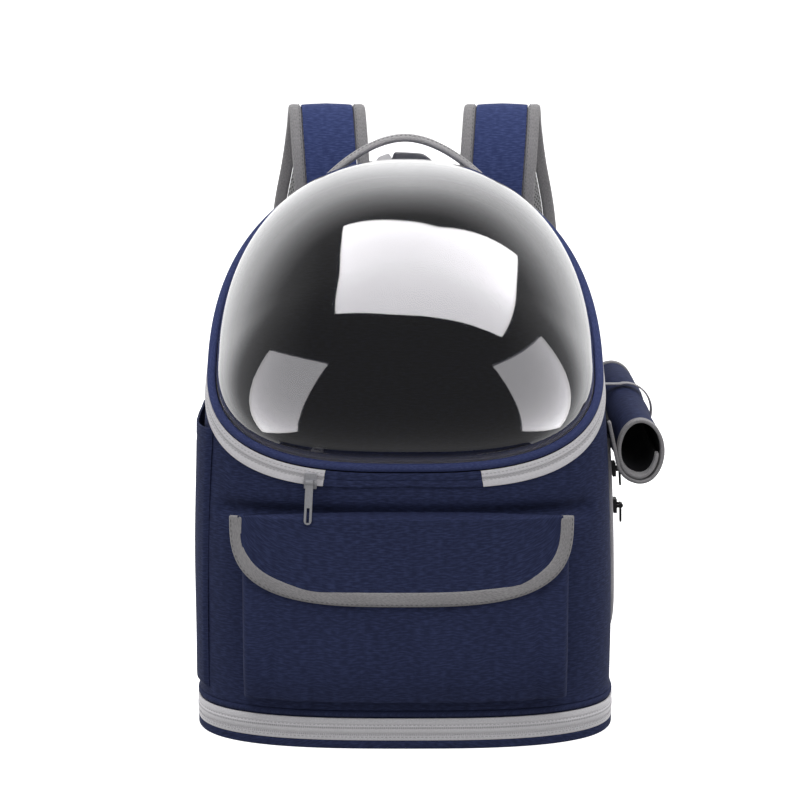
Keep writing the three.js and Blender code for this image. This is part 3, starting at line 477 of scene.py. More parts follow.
body_rows = [[0, 0.06, 0.30, 0.42, 0.55], [body_foot, 0.042, 0.170, 0.190, spring]]


def outline_place(u):
    """The place on the outline at a share across a sheet that goes round the body."""
    return np.sign(u - 0.5) * np.interp(np.abs(2 * u - 1), [0, 0.40, 0.70, 0.80, 1], range(5))


def body_form(u, v):
    place = outline_place(u)
    low = np.interp(v, *body_rows)
    high = spring + (body_top - spring) * np.sin(np.clip((v - 0.55) / 0.45, 0, 1) * math.pi / 2) ** (2 / arch_power)
    z = np.where(v < 0.55, low, high)
    hollows = np.where((z < 0.40) & (z > 0.032), soft_relief(place, z), 0)
    return wall_point(place, z, hollows)


shell = weld(lay("body_cloth", 216, 120, body_form))
cut_point = door_point(0, 0, -0.0056)
edit(shell, lambda: bpy.ops.mesh.bisect(plane_co=cut_point, plane_no=(0, -lean_sin, lean_cos), clear_outer=True))
thicken(shell, board_thickness, 1)

window_front, window_rear, window_bottom, window_top, window_corner = -0.046, 0.072, 0.074, 0.224, 0.026


def window_line(grow, count=16):
    """The window's outline from its front top corner down round its foot, as depths and heights."""
    radius = window_corner + grow
    low = window_bottom - grow + radius
    turns = np.linspace(math.pi, math.pi * 1.5, count)
    front_turn = [window_front - grow + radius * (1 + np.cos(turns)), low + radius * np.sin(turns)]
    turns = turns + math.pi / 2
    rear_turn = [window_rear + grow - radius * (1 - np.cos(turns)), low + radius * np.sin(turns)]
    start = [[window_front - grow], [window_top]]
    end = [[window_rear + grow], [window_top]]
    return np.concatenate([start, front_turn, rear_turn, end], axis=1)


cutter_start, cutter_length = 0.10, 0.10
cutter = outlined("window_cutter", [(cutter_start, y, z) for y, z in window_line(0).T])
edit(
    cutter,
    lambda: bpy.ops.mesh.extrude_region_move(TRANSFORM_OT_translate={"value": (cutter_length, 0, 0)}),
    lambda: bpy.ops.mesh.normals_make_consistent(inside=False),
)
modify(shell, "BOOLEAN", object=cutter, operation="DIFFERENCE", solver="EXACT")
bpy.data.objects.remove(cutter)
dress(shell, [navy_cloth, black_lining], ["body_shell"])


# Base. A stiff padded floor in a navy cloth tray, a pale expansion zip that runs all round it,
# and a cord piping in a navy bias strip that hides the seam to the body.
base_flare = 0.0015


def resample(at, places, table):
    """A table's rows at some places along it."""
    return np.stack([np.interp(at, places, column) for column in np.array(table).T], -1)


def read_rows(table, share):
    """A table's columns at a share of the way down its rows."""
    return resample(share * (len(table) - 1), range(len(table)), table).T


def base_form(rows):
    """Rings round the body's foot, each as a share towards the middle, an outset and a height."""

    def form(u, v):
        share, outset, height = read_rows(rows, v)
        x, y, _ = wall_point(outline_place(u), np.full_like(u, body_foot), outset)
        return x * share, y * share, height

    return form


tray_rows = [
    (0, 0, 0), (0.5, 0, 0), (1, -0.003, 0), (1, 0.0008, 0), (1, base_flare, 0.0009), (1, base_flare, 0.0035),
    (1, base_flare, 0.0056), (1, 0.0008, 0.0065), (1, 0, 0.0066), (1, 0, 0.0239), (1, -0.0028, 0.0240),
    (1, -0.0028, 0.0295), (1, -0.0052, 0.0295), (1, -0.0054, 0.0120), (1, -0.009, 0.0085), (0.5, 0, 0.0080),
    (0, 0, 0.0080),
]
tray = weld(lay("base_tray_cloth", 160, len(tray_rows) - 1, base_form(tray_rows)))
dress(tray, navy_cloth, ["base_tray"])


def zip_finish(name, pale, groove, lines, seams=()):
    """Zip tape: a ribbed weave with a coil's teeth along given places across it, and sewn lines."""
    material, finish = start_finish(name, Roughness=0.62)
    along, across, _ = components(finish, cloth_uv(finish))
    teeth, rib = along.waves(0.0016), across.waves(0.0009)
    grain = noise(finish, cloth_uv(finish), 900, 2.0)
    coil = sum((across.band(middle, 0.0011) for middle in lines[1:]), across.band(lines[0], 0.0011))
    dark = (coil * (0.35 + 0.65 * teeth)).clamped()
    colour = blend(finish, dark * 0.8, pale, groove)
    dashes = contrast((along * (2 * math.pi / 0.003)).sine(), -0.5, 0.2)
    for middle in seams:
        colour = blend(finish, across.band(middle, 0.0005) * dashes * 0.55, colour, groove)
    colour = blend(finish, contrast(grain, 0.35, 0.75) * 0.22, colour, tone(120, 118, 122))
    height = coil * teeth * 0.8 + rib * 0.2 + grain * 0.2
    drive(finish, Base_Color=colour, Normal=relief(finish, height, 0.5, 0.0005))
    return material


base_zip_finish = zip_finish(
    "base_zip_tape", tone(232, 230, 234), tone(110, 108, 114), [0.0055, 0.0115], [0.0036, 0.0136]
)
zip_rows = [
    (1, 0.0003, 0.0068), (1, base_flare - 0.0002, 0.0068), (1, base_flare, 0.0072), (1, base_flare, 0.0108),
    (1, base_flare - 0.0006, 0.0113), (1, base_flare - 0.0006, 0.0121), (1, base_flare, 0.0127),
    (1, base_flare + 0.0003, 0.0140), (1, base_flare + 0.0003, 0.0165), (1, base_flare, 0.0178),
    (1, base_flare - 0.0006, 0.0184), (1, base_flare - 0.0006, 0.0192), (1, base_flare, 0.0197),
    (1, base_flare, 0.0234), (1, base_flare - 0.0002, 0.0238), (1, 0.0003, 0.0238), (1, 0.0003, 0.0068),
]
base_band = weld(lay("base_zip_band", 200, len(zip_rows) - 1, base_form(zip_rows)))
dress(base_band, base_zip_finish, ["base_zip"], angle=50)


def distances(points):
    """How far along its line each point is."""
    return np.concatenate([[0], np.linalg.norm(np.diff(points, axis=0), axis=1).cumsum()])


def unit(ways):
    return ways / np.linalg.norm(ways, axis=-1, keepdims=True)


class Route:
    """A line that a strip follows, evenly spaced, with the way its face looks at each point."""

    def __init__(self, points, face, count, closed=False):
        points = np.array(points, float)
        face = np.broadcast_to(np.array(face, float), points.shape)
        if closed:
            points, face = (np.concatenate([table, table[:1]]) for table in (points, face))
        places = distances(points)
        self.length, self.closed = places[-1], closed
        self.even = np.linspace(0, self.length, count + 1)
        self.points = resample(self.even, places, points)
        if closed:
            ring = np.concatenate([self.points[-2:-1], self.points, self.points[1:2]])
            self.along = unit(ring[2:] - ring[:-2])
        else:
            self.along = unit(np.gradient(self.points, axis=0))
        face = resample(self.even, places, face)
        self.out = unit(face - (face * self.along).sum(1)[:, None] * self.along)
        self.across = np.cross(self.out, self.along)

    def at(self, distance, across=0.0, out=0.0):
        middle, sideways, outward = (resample(distance, self.even, t) for t in (self.points, self.across, self.out))
        return middle + sideways * np.asarray(across)[..., None] + outward * np.asarray(out)[..., None]


def smooth_line(points, count=120):
    """A curve through points, eased as a spline."""
    points = np.array(points, float)
    ends = np.concatenate([[2 * points[0] - points[1]], points, [2 * points[-1] - points[-2]]])
    out = []
    for i in range(len(points) - 1):
        a, b, c, d = ends[i : i + 4]
        s = np.linspace(0, 1, max(2, count // (len(points) - 1)), endpoint=False)[:, None]
        out.append(0.5 * (2 * b + (c - a) * s + (2 * a - 5 * b + 4 * c - d) * s**2 + (3 * b - a - 3 * c + d) * s**3))
    return np.concatenate([*out, points[-1:]])


def squared_off(value, power):
    """A sine or cosine on the way from a circle's to a square's."""
    return np.sign(value) * np.abs(value) ** (2 / power)


def strip(name, route, half_across, half_depth, power=4.0, around=20, rows=100, lift=None, across=0.0, out=0.0):
    """A band of one section along a route, closed at rounded ends. lift(a) raises its face across it."""
    if route.closed:
        places = np.linspace(0, route.length, rows + 1)
        scale = np.ones_like(places)
    else:
        quarter = np.linspace(0, math.pi / 2, 5)
        ends = half_depth * (1 - np.cos(quarter))
        middle = np.linspace(half_depth, route.length - half_depth, rows)[1:-1]
        places = np.concatenate([ends, middle, route.length - ends[::-1]])
        scale = np.concatenate([np.sin(quarter), np.ones(len(middle)), np.sin(quarter)[::-1]])

    def form(u, v):
        distance, size = read_rows(np.stack([places, scale], 1), v)
        angle = 2 * math.pi * u
        a, b = squared_off(np.cos(angle), power), squared_off(np.sin(angle), power)
        shrink = 1 - (1 - size) * min(1, half_depth / half_across)
        raised = lift(a * half_across) * np.clip(b, 0, 1) * size if lift else 0
        return tuple(route.at(distance, across + a * half_across * shrink, out + b * half_depth * size + raised).T)

    return weld(lay(name, around, len(places) - 1, form))


ring_places = np.linspace(-4, 4, 481)[:-1]
foot_height = np.full(480, body_foot)
ring_line = np.stack(wall_point(ring_places, foot_height, -0.0012), 1)
ring_out = np.stack(wall_point(ring_places, foot_height, 0.01), 1) - ring_line
ring_line[:, 2] = 0.0268
piping_route = Route(ring_line, ring_out * (1, 1, 0), 480, True)
base_cord = strip("base_piping_cord", piping_route, 0.0026, 0.0026, 2.0, 14, 480)
piping_cloth = woven(
    "piping_cloth", tone(44, 52, 92), tone(84, 94, 142), 0.0008, 0.002, 0.4, Specular_IOR_Level=0.25
)
dress(base_cord, navy_cloth, ["base_piping"], angle=60)


# Dome door. A bias-bound piping runs round its edge, a black band holds the dome's flange, and the
# dome is one blown sheet of smoky clear plastic. It opens on the zip round it and a cloth hinge below.
def door_half(w, outset):
    """Half of the line where a plane over the door meets the body, from the sill's middle to the top."""
    low = door_sill + (w - outset * lean_sin) / lean_cos
    high = body_top + outset
    z = low + (high - low) * (1 - np.cos(np.linspace(0, math.pi, 4000))) / 2
    y = body_front + ((z - door_sill) * lean_cos - w) / lean_sin
    x = corner_x(y, z, outset)
    x[0], x[-1] = 0, 0
    line = np.stack([x, y, z], 1)
    places = distances(line)
    return resample(np.linspace(0, places[-1], 241), places, line)


def door_loop(w, outset):
    """The whole line, from the sill's middle up the right side and down the left."""
    half = door_half(w, outset)
    return np.concatenate([half[:-1], half[:0:-1] * (-1, 1, 1)])


edge_line = door_loop(0, 0)
edge_u = edge_line[:, 0]
edge_t = (edge_line[:, 2] - door_sill) / lean_sin
door_length = edge_t.max()
step_u = np.roll(edge_u, -1) - np.roll(edge_u, 1)
step_t = np.roll(edge_t, -1) - np.roll(edge_t, 1)
step = np.hypot(step_u, step_t)
out_u, out_t = step_t / step, -step_u / step
ring_share = np.linspace(0, 1, len(edge_u) + 1)
edge_table = np.stack([edge_u, edge_t, out_u, out_t], 1)
edge_table = np.concatenate([edge_table, edge_table[:1]])


def door_edge(u, inset, w, share=1.0):
    """A point inside the door's edge, drawn to the door's middle by a share."""
    across, up, away_across, away_up = resample(u % 1.0, ring_share, edge_table).T
    up = door_length / 2 + (up - away_up * inset - door_length / 2) * share
    return door_point((across - away_across * inset) * share, up, w)


def door_ring(name, section):
    """A closed ring round the door with a section of insets and heights."""
    table = section + section[:1]

    def form(u, v):
        inset, w = read_rows(table, v)
        return door_edge(u, inset, w)

    return weld(lay(name, 360, len(table) - 1, form))


turns = np.linspace(0, 2 * math.pi, 19)[:-1]
cord_radius = 0.0032
cord = [(cord_radius * (1 - math.cos(a)) - 0.0008, cord_radius * math.sin(a)) for a in turns]
door_cord = door_ring("door_piping_cord", cord)
dress(door_cord, piping_cloth, ["door_piping"], angle=60)
band = [(0.0005, -0.0053), (0.016, -0.0053), (0.016, -0.0036), (0.0005, -0.0036)]
door_band = door_ring("dome_seat_band", band)
dress(door_band, black_lining, ["dome_frame"], angle=50)

dome_rise, dome_wall, flange_under = 0.084, 0.0020, -0.0032
dome_power, dome_fullness = 2.3, 0.53
rim_outer, rim_inner = 0.0062, 0.0082


def dome_face(rim, bottom, height):
    """Rows of the dome from its rim to its crown on one side of its wall."""
    angle = np.linspace(0, math.pi / 2, 46)
    share = np.cos(angle) ** (2 / dome_power)
    swell = np.sin(angle) ** (2 * dome_fullness)
    return [(rim, bottom + (height - bottom) * s, max(r, 0)) for r, s in zip(share, swell)]


outer = dome_face(rim_outer, flange_under + dome_wall, dome_rise)
inner = dome_face(rim_inner, flange_under, dome_rise - dome_wall)
flange = [(rim_inner, flange_under, 1), (0.0060, flange_under, 1), (0.0059, flange_under + 0.001, 1)]
dome_rows = inner[::-1] + flange + outer


def dome_form(u, v):
    inset, w, share = read_rows(dome_rows, v)
    return door_edge(u, inset, w, share)


dome = weld(lay("dome_shell", 240, len(dome_rows) - 1, dome_form))
clear = bpy.data.materials.new("smoky_clear_plastic")
clear.use_nodes = True
glass = Finish(clear.node_tree)
glass.tree.nodes.clear()
through = glass.node("ShaderNodeBsdfTransparent", None, {"Color": tone(200, 200, 204)})
place = object_place(glass)
ripples = relief(glass, noise(glass, place, 7.0, 1.0), 0.25, 0.004)
mirror = glass.node("ShaderNodeBsdfGlossy", None, {"Color": (1, 1, 1, 1), "Roughness": 0.04, "Normal": ripples})
grazing = Amount(glass, glass.node("ShaderNodeLayerWeight", None, {"Blend": 0.5}).outputs["Facing"])
gloss = grazing**2.2 * 0.96 + 0.04
mixed = glass.node("ShaderNodeMixShader", None, {0: gloss, 1: through.outputs[0], 2: mirror.outputs[0]})
# Painted highlight: a pale diffuse share is mixed in along the dome's foot. It is strongest in the first millimetres
# off the flange and fades out 14 mm up the wall, standing in for the bright reflections of the dome's grazing rim.
_, depth, height = components(glass, place)
off_door = (body_front - depth) * lean_sin + (height - door_sill) * lean_cos
rim_highlight_fade = ((0.014 - off_door) / 0.014).clamped()
painted_rim_highlight = ((0.0012 - off_door) / 0.002).clamped() * 0.45 + rim_highlight_fade * rim_highlight_fade * 0.28
pale = glass.node("ShaderNodeBsdfDiffuse", None, {"Color": tone(222, 220, 224)})
edged = glass.node("ShaderNodeMixShader", None, {0: painted_rim_highlight, 1: mixed.outputs[0], 2: pale.outputs[0]})
glass.node("ShaderNodeOutputMaterial", None, {"Surface": edged.outputs[0]})
dress(dome, clear, ["dome"], angle=60)
dome_alone.objects.link(dome)

tape_levels = np.linspace(0.0, -0.0160, 17)
tape_top, tape_width = -0.0010, 0.0088


def tape_form(start, end, section):
    """Tape on the body's surface below the door's edge: the section gives outsets and shares down its width."""
    least, most = min(row[0] for row in section), max(row[0] for row in section)
    loops = [np.array([door_loop(w, outset) for w in tape_levels]) for outset in (least, most)]
    under, over = (np.concatenate([table, table[:, :1]], axis=1) for table in loops)

    def look(table, s, w):
        level = np.clip((tape_levels[0] - w) / (tape_levels[0] - tape_levels[1]), 0, len(tape_levels) - 1.001)
        low = level.astype(int)
        column = s * (len(ring_share) - 1)
        first = np.clip(column.astype(int), 0, len(ring_share) - 2)
        a, b = (level - low)[:, None], (column - first)[:, None]
        top = table[low, first] * (1 - b) + table[low, first + 1] * b
        foot = table[low + 1, first] * (1 - b) + table[low + 1, first + 1] * b
        return top * (1 - a) + foot * a

    def form(u, v):
        s = (start + (end - start) * u) % 1.0
        outset, down = read_rows(section, v)
        height = 1 - np.abs(2 * s - 1)
        ends = lean_cos + (lean_sin - lean_cos) * height
        slant = ends + (1 - ends) * 4 * height * (1 - height)
        w = tape_top - down * tape_width * slant
        below, above = look(under, s, w), look(over, s, w)
        return tuple((below + (above - below) * ((outset - least) / (most - least))[:, None]).T)

    return form


def ring_place(x):
    """Where the door's line crosses a place across its sill."""
    quarter = len(edge_u) // 8
    if x > 0:
        return np.interp(x, edge_u[:quarter], ring_share[:quarter])
    return 1 - np.interp(-x, edge_u[:quarter], ring_share[:quarter])


tape_section = [
    (0.0002, 0.0), (0.0006, 0.0), (0.0009, 0.05), (0.0010, 0.42), (0.0005, 0.47), (0.0005, 0.53), (0.0005, 0.59),
    (0.0011, 0.64), (0.0011, 0.95), (0.0008, 1.0), (0.0002, 1.0),
]
door_tape_finish = zip_finish(
    "door_zip_tape", tone(226, 224, 228), tone(120, 118, 124), [0.0052], [0.0026, 0.0080]
)
tape_right_end, tape_left_end, hinge_left_end, hinge_right_end = 0.0544, -0.0578, -0.0575, 0.0541
tape_form_round = tape_form(ring_place(tape_right_end), ring_place(tape_left_end), tape_section)
tape = thicken(lay("door_zip_tape", 420, 10, tape_form_round), 0.0001)
dress(tape, door_tape_finish, ["door_zip"], angle=50)
hinge_section = [
    (0.0002, 0.0), (0.0006, 0.0), (0.0010, 0.08), (0.0010, 0.42), (0.0004, 0.5), (0.0010, 0.58), (0.0010, 0.94),
    (0.0002, 1.0),
]
hinge_form = tape_form(ring_place(hinge_left_end) - 1, ring_place(hinge_right_end), hinge_section)
hinge = thicken(lay("door_hinge_cloth", 60, 7, hinge_form), 0.0001)
dress(hinge, navy_cloth, ["door_hinge"], angle=50)


# Front pocket. A gusseted patch pocket of the body's cloth, sewn to the bowed front round its sides and
# foot. Its flap is one cut sheet with a folded grey binding, sewn in along its straight upper edge.
pocket_half, pocket_foot, pocket_top, pocket_stand = 0.1205, 0.041, 0.177, 0.018
pocket_shares = [[0, 0.05, 0.22, 0.6, 1], [0.66, 0.92, 1, 0.8, 0.44]]


def pocket_reach(z):
    """How far the pocket stands off the body at a height, eased between the source's rows."""
    rise = share_between(z, pocket_foot, pocket_top)
    spread = [np.interp(np.clip(rise + shift, 0, 1), *pocket_shares) for shift in (-0.06, -0.03, 0, 0.03, 0.06)]
    return pocket_stand * sum(spread) / 5


def pocket_form(u, v):
    gusset, foot, front_inset = 0.10, 0.08, 0.005
    side = np.abs(2 * u - 1)
    rise = np.clip((v - foot) / (1 - foot), 0, 1)
    z = pocket_foot + (pocket_top - pocket_foot) * rise
    reach = pocket_reach(z)
    out_side = np.clip((1 - side) / gusset, 0, 1)
    out_foot = np.clip(v / foot, 0, 1)
    round_side = np.sin(out_side * math.pi / 2) ** 0.75
    round_foot = np.sin(out_foot * math.pi / 2) ** 0.55
    inset = front_inset * np.clip(out_side * 1.6 - 0.6, 0, 1) ** 2
    edge = np.sign(u - 0.5) * (pocket_half - inset)
    inside = edge * side / (1 - gusset) * (pocket_half - front_inset) / pocket_half
    x = np.where(side > 1 - gusset, edge, inside)
    sag = 0.0009 * np.sin(u * 21 + 1.3) * np.sin(rise * 7) + 0.0006 * np.sin(u * 47) * (1 - rise) ** 2
    pull = -0.0010 * hump(side, 0.80, 0.02)
    out = -0.0008 + (reach + 0.0008 + sag + pull) * round_side * round_foot
    z = z - 0.0012 * np.sin(math.pi * u) * (1 - out_foot)
    return x, front_y(x, z, out), z


pocket = lay("front_pocket_cloth", 150, 60, pocket_form)
thicken(pocket, 0.0018)
dress(pocket, navy_cloth, ["front_pocket"])

flap_middle, flap_half, flap_top, flap_drop, flap_power = -0.003, 0.1270, 0.1812, 0.0662, 3.2
flap_turn = pocket_top + 0.001
edge_sag = 0.0030


def flap_reach(z, thickness):
    lying = pocket_reach(np.minimum(z, pocket_top)) + 0.0006
    share = share_between(z, flap_turn, flap_top)
    turned = np.sqrt(np.clip(1 - share**2, 0, 1))
    return 0.0003 + (lying + thickness - 0.0003) * turned - flap_crease(z) * (1 - turned)


def flap_ceiling(x):
    """The height of the flap's seam, which drops a little towards its ends."""
    return flap_top - edge_sag * (x / flap_half) ** 4


def flap_line(angle, inset):
    """The flap's outline from its right end round its foot to its left."""
    x = flap_middle + (flap_half - inset) * squared_off(np.cos(angle), flap_power)
    return x, flap_ceiling(x) - (flap_drop - inset) * np.abs(np.sin(angle)) ** (2 / flap_power)


def flap_form(u, v):
    angle = math.pi * (1 - u)
    x, low = flap_line(angle, 0.0085)
    z = low + (flap_ceiling(x) - low) * v
    wave = 0.0005 * np.sin(u * 19 + 0.7) * (1 - v)
    return x, front_y(x, z, flap_reach(z, 0.0018) + wave * np.clip(4 * (1 - v), 0, 1)), z


flap = lay("pocket_flap_cloth", 140, 44, flap_form)
thicken(flap, 0.0016)
dress(flap, navy_cloth, ["pocket_flap"])


def bias_finish(name, dark, light, weft=0.0007):
    """Grosgrain binding: fine cross ribs, a heathered grey and broad cloudy patches of tone."""
    material, finish = start_finish(name, Roughness=0.8, Sheen_Weight=0.1)
    place = cloth_uv(finish)
    rib = components(finish, place)[1].waves(weft)
    heather = noise(finish, place, 1.0, 2.0, (1 / 0.0007, 1 / 0.002, 1))
    cloudy = noise(finish, place, 22.0, 2.0)
    shade = (contrast(heather, 0.3, 0.75) * 0.6 + (cloudy - 0.5) * 0.5 + rib * 0.14 + 0.1).clamped()
    ribbed = relief(finish, rib * 0.6 + heather * 0.5, 0.3, 0.0004)
    drive(finish, Base_Color=blend(finish, shade, dark, light), Normal=ribbed)
    return material


grey_binding = bias_finish("grey_binding", tone(122, 120, 122), tone(176, 174, 176))


grey_thread, thread_tree = start_finish("grey_thread", Roughness=0.55)
twist = noise(thread_tree, object_place(thread_tree), 2500, 1.0)
drive(thread_tree, Base_Color=blend(thread_tree, twist, tone(86, 85, 88), tone(128, 126, 130)))
stitch_pitch, stitch_size = 0.0036, (0.00028 * 1.3, 0.0012, 0.00028)


def stitches(name, route, across, out, margin=0.003):
    """A row of lockstitches: one thread link is modelled, then copied along the route."""
    bpy.ops.object.select_all(action="DESELECT")
    bpy.ops.mesh.primitive_uv_sphere_add(segments=6, ring_count=4, radius=1)
    link = bpy.context.object
    shape = np.array([v.co for v in link.data.vertices], float) * stitch_size
    faces = [list(f.vertices) for f in link.data.polygons]
    bpy.data.objects.remove(link)
    places = np.arange(margin, route.length - margin, stitch_pitch)
    ways = np.stack([resample(places, route.even, t) for t in (route.across, route.along, route.out)], 1)
    points = route.at(places, across, out)[:, None] + shape @ ways
    mesh = bpy.data.meshes.new(name)
    copies = range(len(places))
    mesh.from_pydata(points.reshape(-1, 3), [], [[k + i * len(shape) for k in f] for i in copies for f in faces])
    piece = bpy.data.objects.new(name, mesh)
    bpy.context.scene.collection.objects.link(piece)
    return dress(piece, grey_thread, angle=80)


flap_x, flap_z = flap_line(np.linspace(0, math.pi, 400), 0.0055)


def flap_back(across, up, stand=0.0):
    """How far forward the flap's edge lies, beside its outline by two steps."""
    return front_y(flap_x + across, flap_z + up, flap_reach(flap_z + up, 0.0006) + stand)


slope = (flap_back(0.002, 0) - flap_back(-0.002, 0)) / 0.004
lean = (flap_back(0, 0.002) - flap_back(0, -0.002)) / 0.004
binding_line = np.stack([flap_x, flap_back(0, 0, 0.0004), flap_z], 1)
binding_face = np.stack([slope, -np.ones_like(slope), np.clip(lean, -3, 3)], 1)
flap_route = Route(binding_line, binding_face, 300)
flap_edge = strip("flap_binding_tape", flap_route, 0.0054, 0.0014, 3.2, 18, 220)
dress(flap_edge, grey_binding, ["flap_binding"], angle=60)
stitches("flap_binding_stitches", flap_route, 0.0036, 0.0014)


# Zip sliders and pulls. The door's slider is die-cast metal with a long slotted pull that hangs from its
# bridge; the two on the side window are small black mouldings. Each slider runs on its zip's coil.
pull_metal, metal_tree = start_finish("brushed_gunmetal", Metallic=0.55, Roughness=0.32)
brushed = noise(metal_tree, object_place(metal_tree), 1.0, 2.0, (2600, 2600, 220))
brushed_colour = blend(metal_tree, brushed, tone(168, 168, 174), tone(216, 216, 220))
drive(metal_tree, Base_Color=brushed_colour, Roughness=brushed * 0.2 + 0.24)
black_plastic, plastic_tree = start_finish("moulded_black_plastic", Roughness=0.42)
moulded = noise(plastic_tree, object_place(plastic_tree), 420, 3.0)
moulded_colour = blend(plastic_tree, moulded, tone(20, 20, 22), tone(40, 40, 43))
grain = relief(plastic_tree, moulded, 0.15, 0.0003)
drive(plastic_tree, Base_Color=moulded_colour, Roughness=moulded * 0.2 + 0.34, Normal=grain)
for place, finish in [("door", pull_metal), ("side_upper", black_plastic), ("side_lower", black_plastic)]:
    for part in ("slider", "pull"):
        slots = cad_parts[place + "_" + part].data.materials
        slots.clear()
        slots.append(finish)


# Side window. A black net panel closes the right wall, a two-way zip runs round it, and its cloth cover
# is rolled up above it with bound ends and held by a sewn loop of tape.
net, net_tree = start_finish("black_net", Roughness=0.8)
net_u, net_v, _ = components(net_tree, cloth_uv(net_tree))
net_pitch = 0.0011
cells = (net_u * (math.pi / net_pitch)).sine() * (net_v * (math.pi / net_pitch)).sine()
threads = contrast(cells.absolute(), 0.55, 0.25)
net_colour = blend(net_tree, threads, tone(4, 4, 5), tone(44, 44, 48))
drive(net_tree, Base_Color=net_colour, Normal=relief(net_tree, threads, 0.8, 0.0006))


def net_form(u, v):
    """Rows from the window's foot up, each as wide as the outline lets it be."""
    z = window_bottom + 0.0004 + (window_top - 0.0008 - window_bottom) * v
    below = np.clip((window_bottom + window_corner - z) / (window_corner - 0.0004), 0, 1)
    cut_in = window_corner * (1 - np.sqrt(1 - below**2)) + 0.0004
    y = window_front + cut_in + (window_rear - window_front - 2 * cut_in) * u
    return side_x(y, z, -0.0004), y, z


panel = thicken(lay("side_window_net", 60, 70, net_form), 0.0012)
dress(panel, net, ["side_mesh"])

side_zip_finish = zip_finish("side_zip_tape", tone(200, 198, 202), tone(52, 50, 56), [0.0])
zip_line = window_line(0.006, 60).T
zip_places = distances(zip_line)
zip_y, zip_z = resample(np.linspace(0, zip_places[-1], 260), zip_places, zip_line).T
over_y = (side_x(zip_y + 0.002, zip_z) - side_x(zip_y - 0.002, zip_z)) / 0.004
over_z = (side_x(zip_y, zip_z + 0.002) - side_x(zip_y, zip_z - 0.002)) / 0.004
zip_face = np.stack([np.ones_like(over_y), -over_y, -over_z], 1)
zip_route = Route(np.stack([side_x(zip_y, zip_z, 0.0018), zip_y, zip_z], 1), zip_face, 260)
for label, across in [("outer", -0.0034), ("inner", 0.0034)]:
    lane = strip("side_zip_" + label + "_tape", zip_route, 0.0027, 0.0020, 3.0, 14, 240, across=across)
    dress(lane, side_zip_finish, ["side_zip"], angle=60)
coil = strip("side_zip_coil", zip_route, 0.0014, 0.0010, 2.2, 12, 240)
dress(coil, black_plastic, angle=60)

roll_radius, roll_front, roll_rear, roll_slack = 0.0175, -0.072, 0.092, 0.0010
roll_table = np.array([
    [0, 1.4, 1.08, 0.9, 0.92, 1.88], [0.3, 1.36, 0.8, 0.98, 1, 1.71],
    [0.65, 1.36, 0.12, 1, 1.1, 1.26], [1, 1.48, -0.6, 0.94, 1.34, 0.72],
])
lead_share, first_degree, wound_degrees, slider_depth = 0.12, 215, 500, -0.052


def roll_shape(y, eased=0.0):
    """The roll's shares of its radius at a depth: out, up, half width, half height and its seam's height."""
    along = (y - roll_rear) / (roll_front - roll_rear)
    spread = [resample(along + shift, roll_table[:, 0], roll_table[:, 1:]) for shift in (-eased, 0, eased)]
    return np.moveaxis(sum(spread) / 3, -1, 0)


def roll_form(start, end, thickness):
    """The rolled cover between two depths: it winds from its seam to its inner end, clear of the slider below."""

    def form(u, v):
        y = start + (end - start) * v
        out, rise, wide, tall, root = roll_shape(y, 0.08)
        seam_height = window_top + roll_radius * root
        wall = side_x(y, seam_height)
        turned = wound_degrees * share_between(u, lead_share, 1)
        tuck = np.clip((turned - 140) / 220, 0, 1)
        inwards = 0.0034 * (tuck * tuck * (3 - 2 * tuck)) + 0.0011 * np.clip((turned - 360) / 140, 0, 1)
        angle = np.radians(first_degree + turned)
        grown = thickness / 2 - inwards - roll_slack
        x = wall + roll_radius * out + (roll_radius * wide + grown) * np.cos(angle)
        z = window_top + roll_radius * rise + (roll_radius * tall + grown) * np.sin(angle)
        x = x + 0.0004 * np.sin(y * 160 + turned / 60) * np.sin(turned / 90)
        by_slider = hump(y, slider_depth, 0.016) * np.clip((wall + 0.034 - x) / 0.012, 0, 1)
        z = z + 0.0042 * by_slider * np.clip((window_top - 0.002 - z) / 0.012, 0, 1)
        lead = np.clip(u / lead_share, 0, 1)
        start_x = wall + 0.0023 + thickness / 2
        return start_x + (x - start_x) * lead, y, seam_height + (z - seam_height) * lead

    return form


roll = lay("window_roll_cloth", 150, 70, roll_form(-0.0655, 0.0855, 0.0020))
for finish in (black_lining, navy_cloth):
    roll.data.materials.append(finish)
thicken(roll, 0.0020, 1)
dress(roll, [], ["window_roll"])
for label, start, end in [("front", roll_front, -0.0650), ("rear", 0.0850, roll_rear)]:
    bound = thicken(lay("roll_binding_" + label + "_tape", 150, 6, roll_form(start, end, 0.0028)), 0.0028)
    modify(bound, "BEVEL", width=0.0009, segments=3, limit_method="ANGLE", angle_limit=math.radians(60))
    dress(bound, grey_binding, ["roll_binding_" + label], angle=60)

tie_y = 0.012
tie_out, tie_rise, tie_wide, tie_tall, _ = roll_shape(tie_y)
tie_wall = float(side_x(np.array(tie_y), np.array(window_top + roll_radius * tie_rise)))
tie_turns = np.radians(np.linspace(105, -125, 40))
tie_lift = 0.0010 + 0.0007 + 0.0022
tie_x = tie_wall + roll_radius * tie_out + (roll_radius * tie_wide + tie_lift) * np.cos(tie_turns)
tie_z = window_top + roll_radius * tie_rise + (roll_radius * tie_tall + tie_lift) * np.sin(tie_turns)
tie_line = np.stack([tie_x, np.full(40, tie_y), tie_z], 1)
tie_top = [[tie_wall + 0.0012, tie_y, tie_z[0]]]
tie_foot = [[tie_wall + 0.0012, tie_y, window_top + roll_radius * (tie_rise - tie_tall) - tie_lift]]
tie_path = smooth_line(np.concatenate([tie_top, tie_line, tie_foot]), 164)
tie_out_way = tie_path - [tie_wall + roll_radius * tie_out, tie_y, window_top + roll_radius * tie_rise]
tie = strip("roll_tie_tape", Route(tie_path, tie_out_way, 120), 0.0039, 0.0007, 4.0, 14, 90)
tie_tape = bias_finish("tie_tape", tone(150, 148, 152), tone(200, 198, 202))
dress(tie, tie_tape, ["roll_tie"], angle=60)


